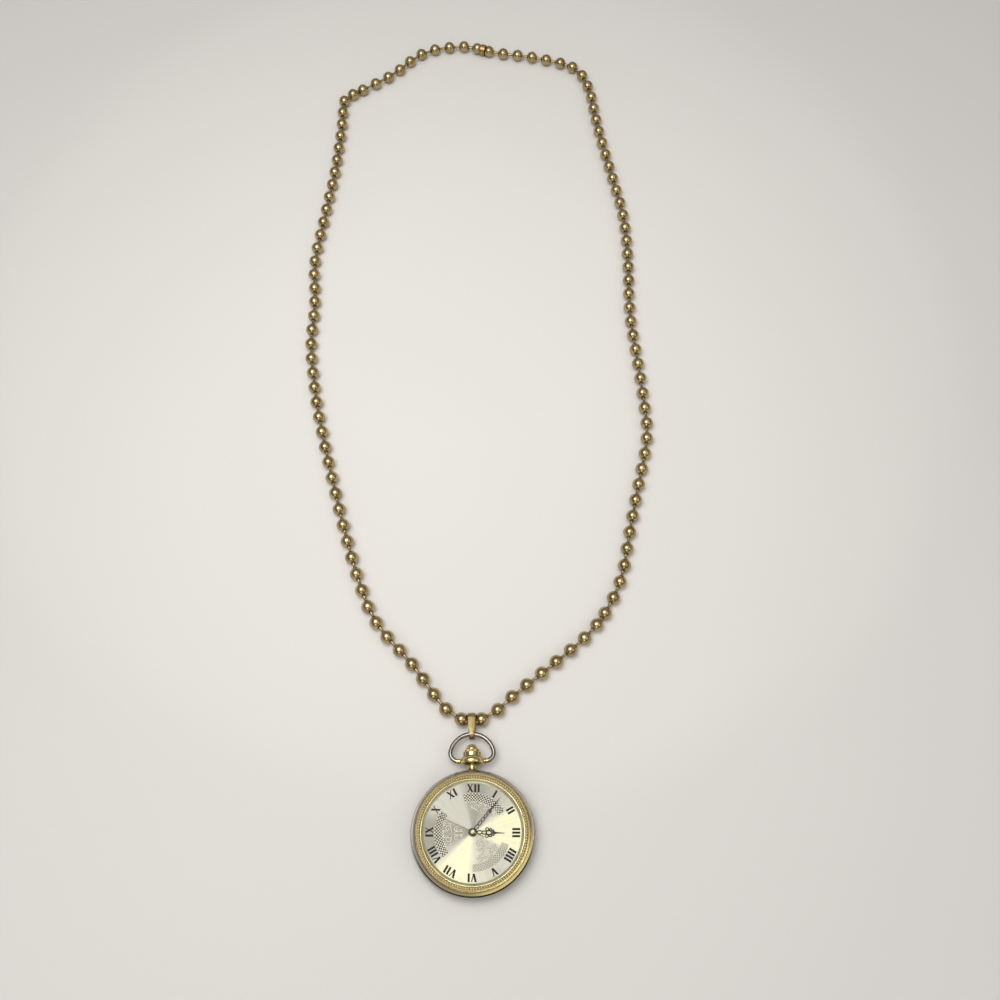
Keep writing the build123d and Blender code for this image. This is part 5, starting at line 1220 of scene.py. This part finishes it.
def clasp_part(middle, axis, mouth=0.27):
    """Split sleeve between two beads, with turned-in lips and a mouth along one side."""
    corners = [[1.66, -0.65], [1.46, -0.65], [1.46, -0.85], [1.96, -0.85], [1.96, 0.85],
               [1.46, 0.85], [1.46, 0.65], [1.66, 0.65]]
    profile, sharp = soft_profile(corners, 0.06)
    turn = np.linspace(mouth, FULL_TURN - mouth, 60)[:, None] - math.pi / 2
    local = circled(profile[:, 0], turn, profile[:, 1])
    grid = middle + laid_out(local, axis)[0]
    return grid_part(with_caps(grid, grid[[0, -1]].mean(1)), False, True, sharp)


class WATCH_OT_chain(WatchOperator, bpy.types.Operator):
    """Make the beads, the links and the clasp of the ball chain"""
    bl_idname = "watch.chain"
    bl_label = "Ball chain"

    def make(self, sizes, colours, stage):
        radius = sizes.bead_radius / MM
        centres = bead_centres(radius)
        following = np.roll(centres, -1, 0)
        middles, axes = 0.5 * (centres + following), unit(following - centres)
        at_clasp = slice(CLASP_GAP, CLASP_GAP + 1)
        brass = metal("bead_brass", colours.bead, 0.14, 0.35, 3.2, 0.12)
        make_piece("beads", [bead_part(centres, axes, radius, sizes.bead_hole / MM)], brass,
                   ["chain_beads"], "chain", crease=60.0)
        brass = metal("link_brass", colours.link, 0.22, 0.30, 1.0, 0.15)
        make_piece("links", [link_part(middles, axes, sizes.link_radius / MM)], brass,
                   ["chain_links"], "chain")
        brass = metal("clasp_brass", colours.clasp, 0.28, 0.35, 0.9, 0.25)
        make_piece("clasp", [clasp_part(middles[at_clasp], axes[at_clasp])], brass,
                   ["chain_clasp"], "chain")


# Works inside the case

class WATCH_OT_movement(WatchOperator, bpy.types.Operator):
    """Finish the pieces of the movement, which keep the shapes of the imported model"""
    bl_idname = "watch.movement"
    bl_label = "Movement"

    def make(self, sizes, colours, stage):
        finishes = {
            "nickel_plate": plated_movement("nickel_plate", (0.66, 0.64, 0.58)),
            "movement_ring_metal": metal("holder_metal", (0.58, 0.56, 0.52), 0.35, 0.15, 2.0, 0.3),
            "steel_parts": metal("polished_steel", (0.56, 0.56, 0.58), 0.2, 0.12, 0.8, 0.15),
            "brass_wheels": metal("wheel_brass", (0.74, 0.57, 0.26), 0.26, 0.15, 0.9, 0.2),
            "blue_steel_hairspring": metal("blued_steel", (0.10, 0.16, 0.40), 0.22, 0.2, 0.8, 0.1),
            "jewel_red": stone("red_stone", (0.60, 0.04, 0.14)),
        }
        for row in FRAME["record"]["subparts"]:
            material = finishes.get(row["material_slot"])
            if material and row["node"] not in ("cannon_pinion", "hour_wheel"):
                repaint(row["node"], material)


STEPS = (WATCH_OT_stage, WATCH_OT_chain, WATCH_OT_case, WATCH_OT_crystal, WATCH_OT_dial,
         WATCH_OT_hands, WATCH_OT_hangers, WATCH_OT_movement)


class WATCH_PT_panel(bpy.types.Panel):
    """The watch's sizes, colours and steps"""
    bl_label = "Pendant Watch"
    bl_idname = "WATCH_PT_panel"
    bl_space_type = "VIEW_3D"
    bl_region_type = "UI"
    bl_category = "Watch"

    def draw(self, context):
        for group in settings():
            for key in group.__annotations__:
                self.layout.prop(group, key)
        for step in STEPS:
            self.layout.operator(step.bl_idname)


CLASSES = (*GROUPS.values(), *STEPS, WATCH_PT_panel)


def register():
    for item in CLASSES:
        bpy.utils.register_class(item)
    for key, group in GROUPS.items():
        setattr(bpy.types.Scene, key, bpy.props.PointerProperty(type=group))


def unregister():
    for key in GROUPS:
        delattr(bpy.types.Scene, key)
    for item in reversed(CLASSES):
        bpy.utils.unregister_class(item)


def main():
    register()
    for step in STEPS:
        group, name = step.bl_idname.split(".")
        getattr(getattr(bpy.ops, group), name)()


if __name__ == "__main__":
    main()
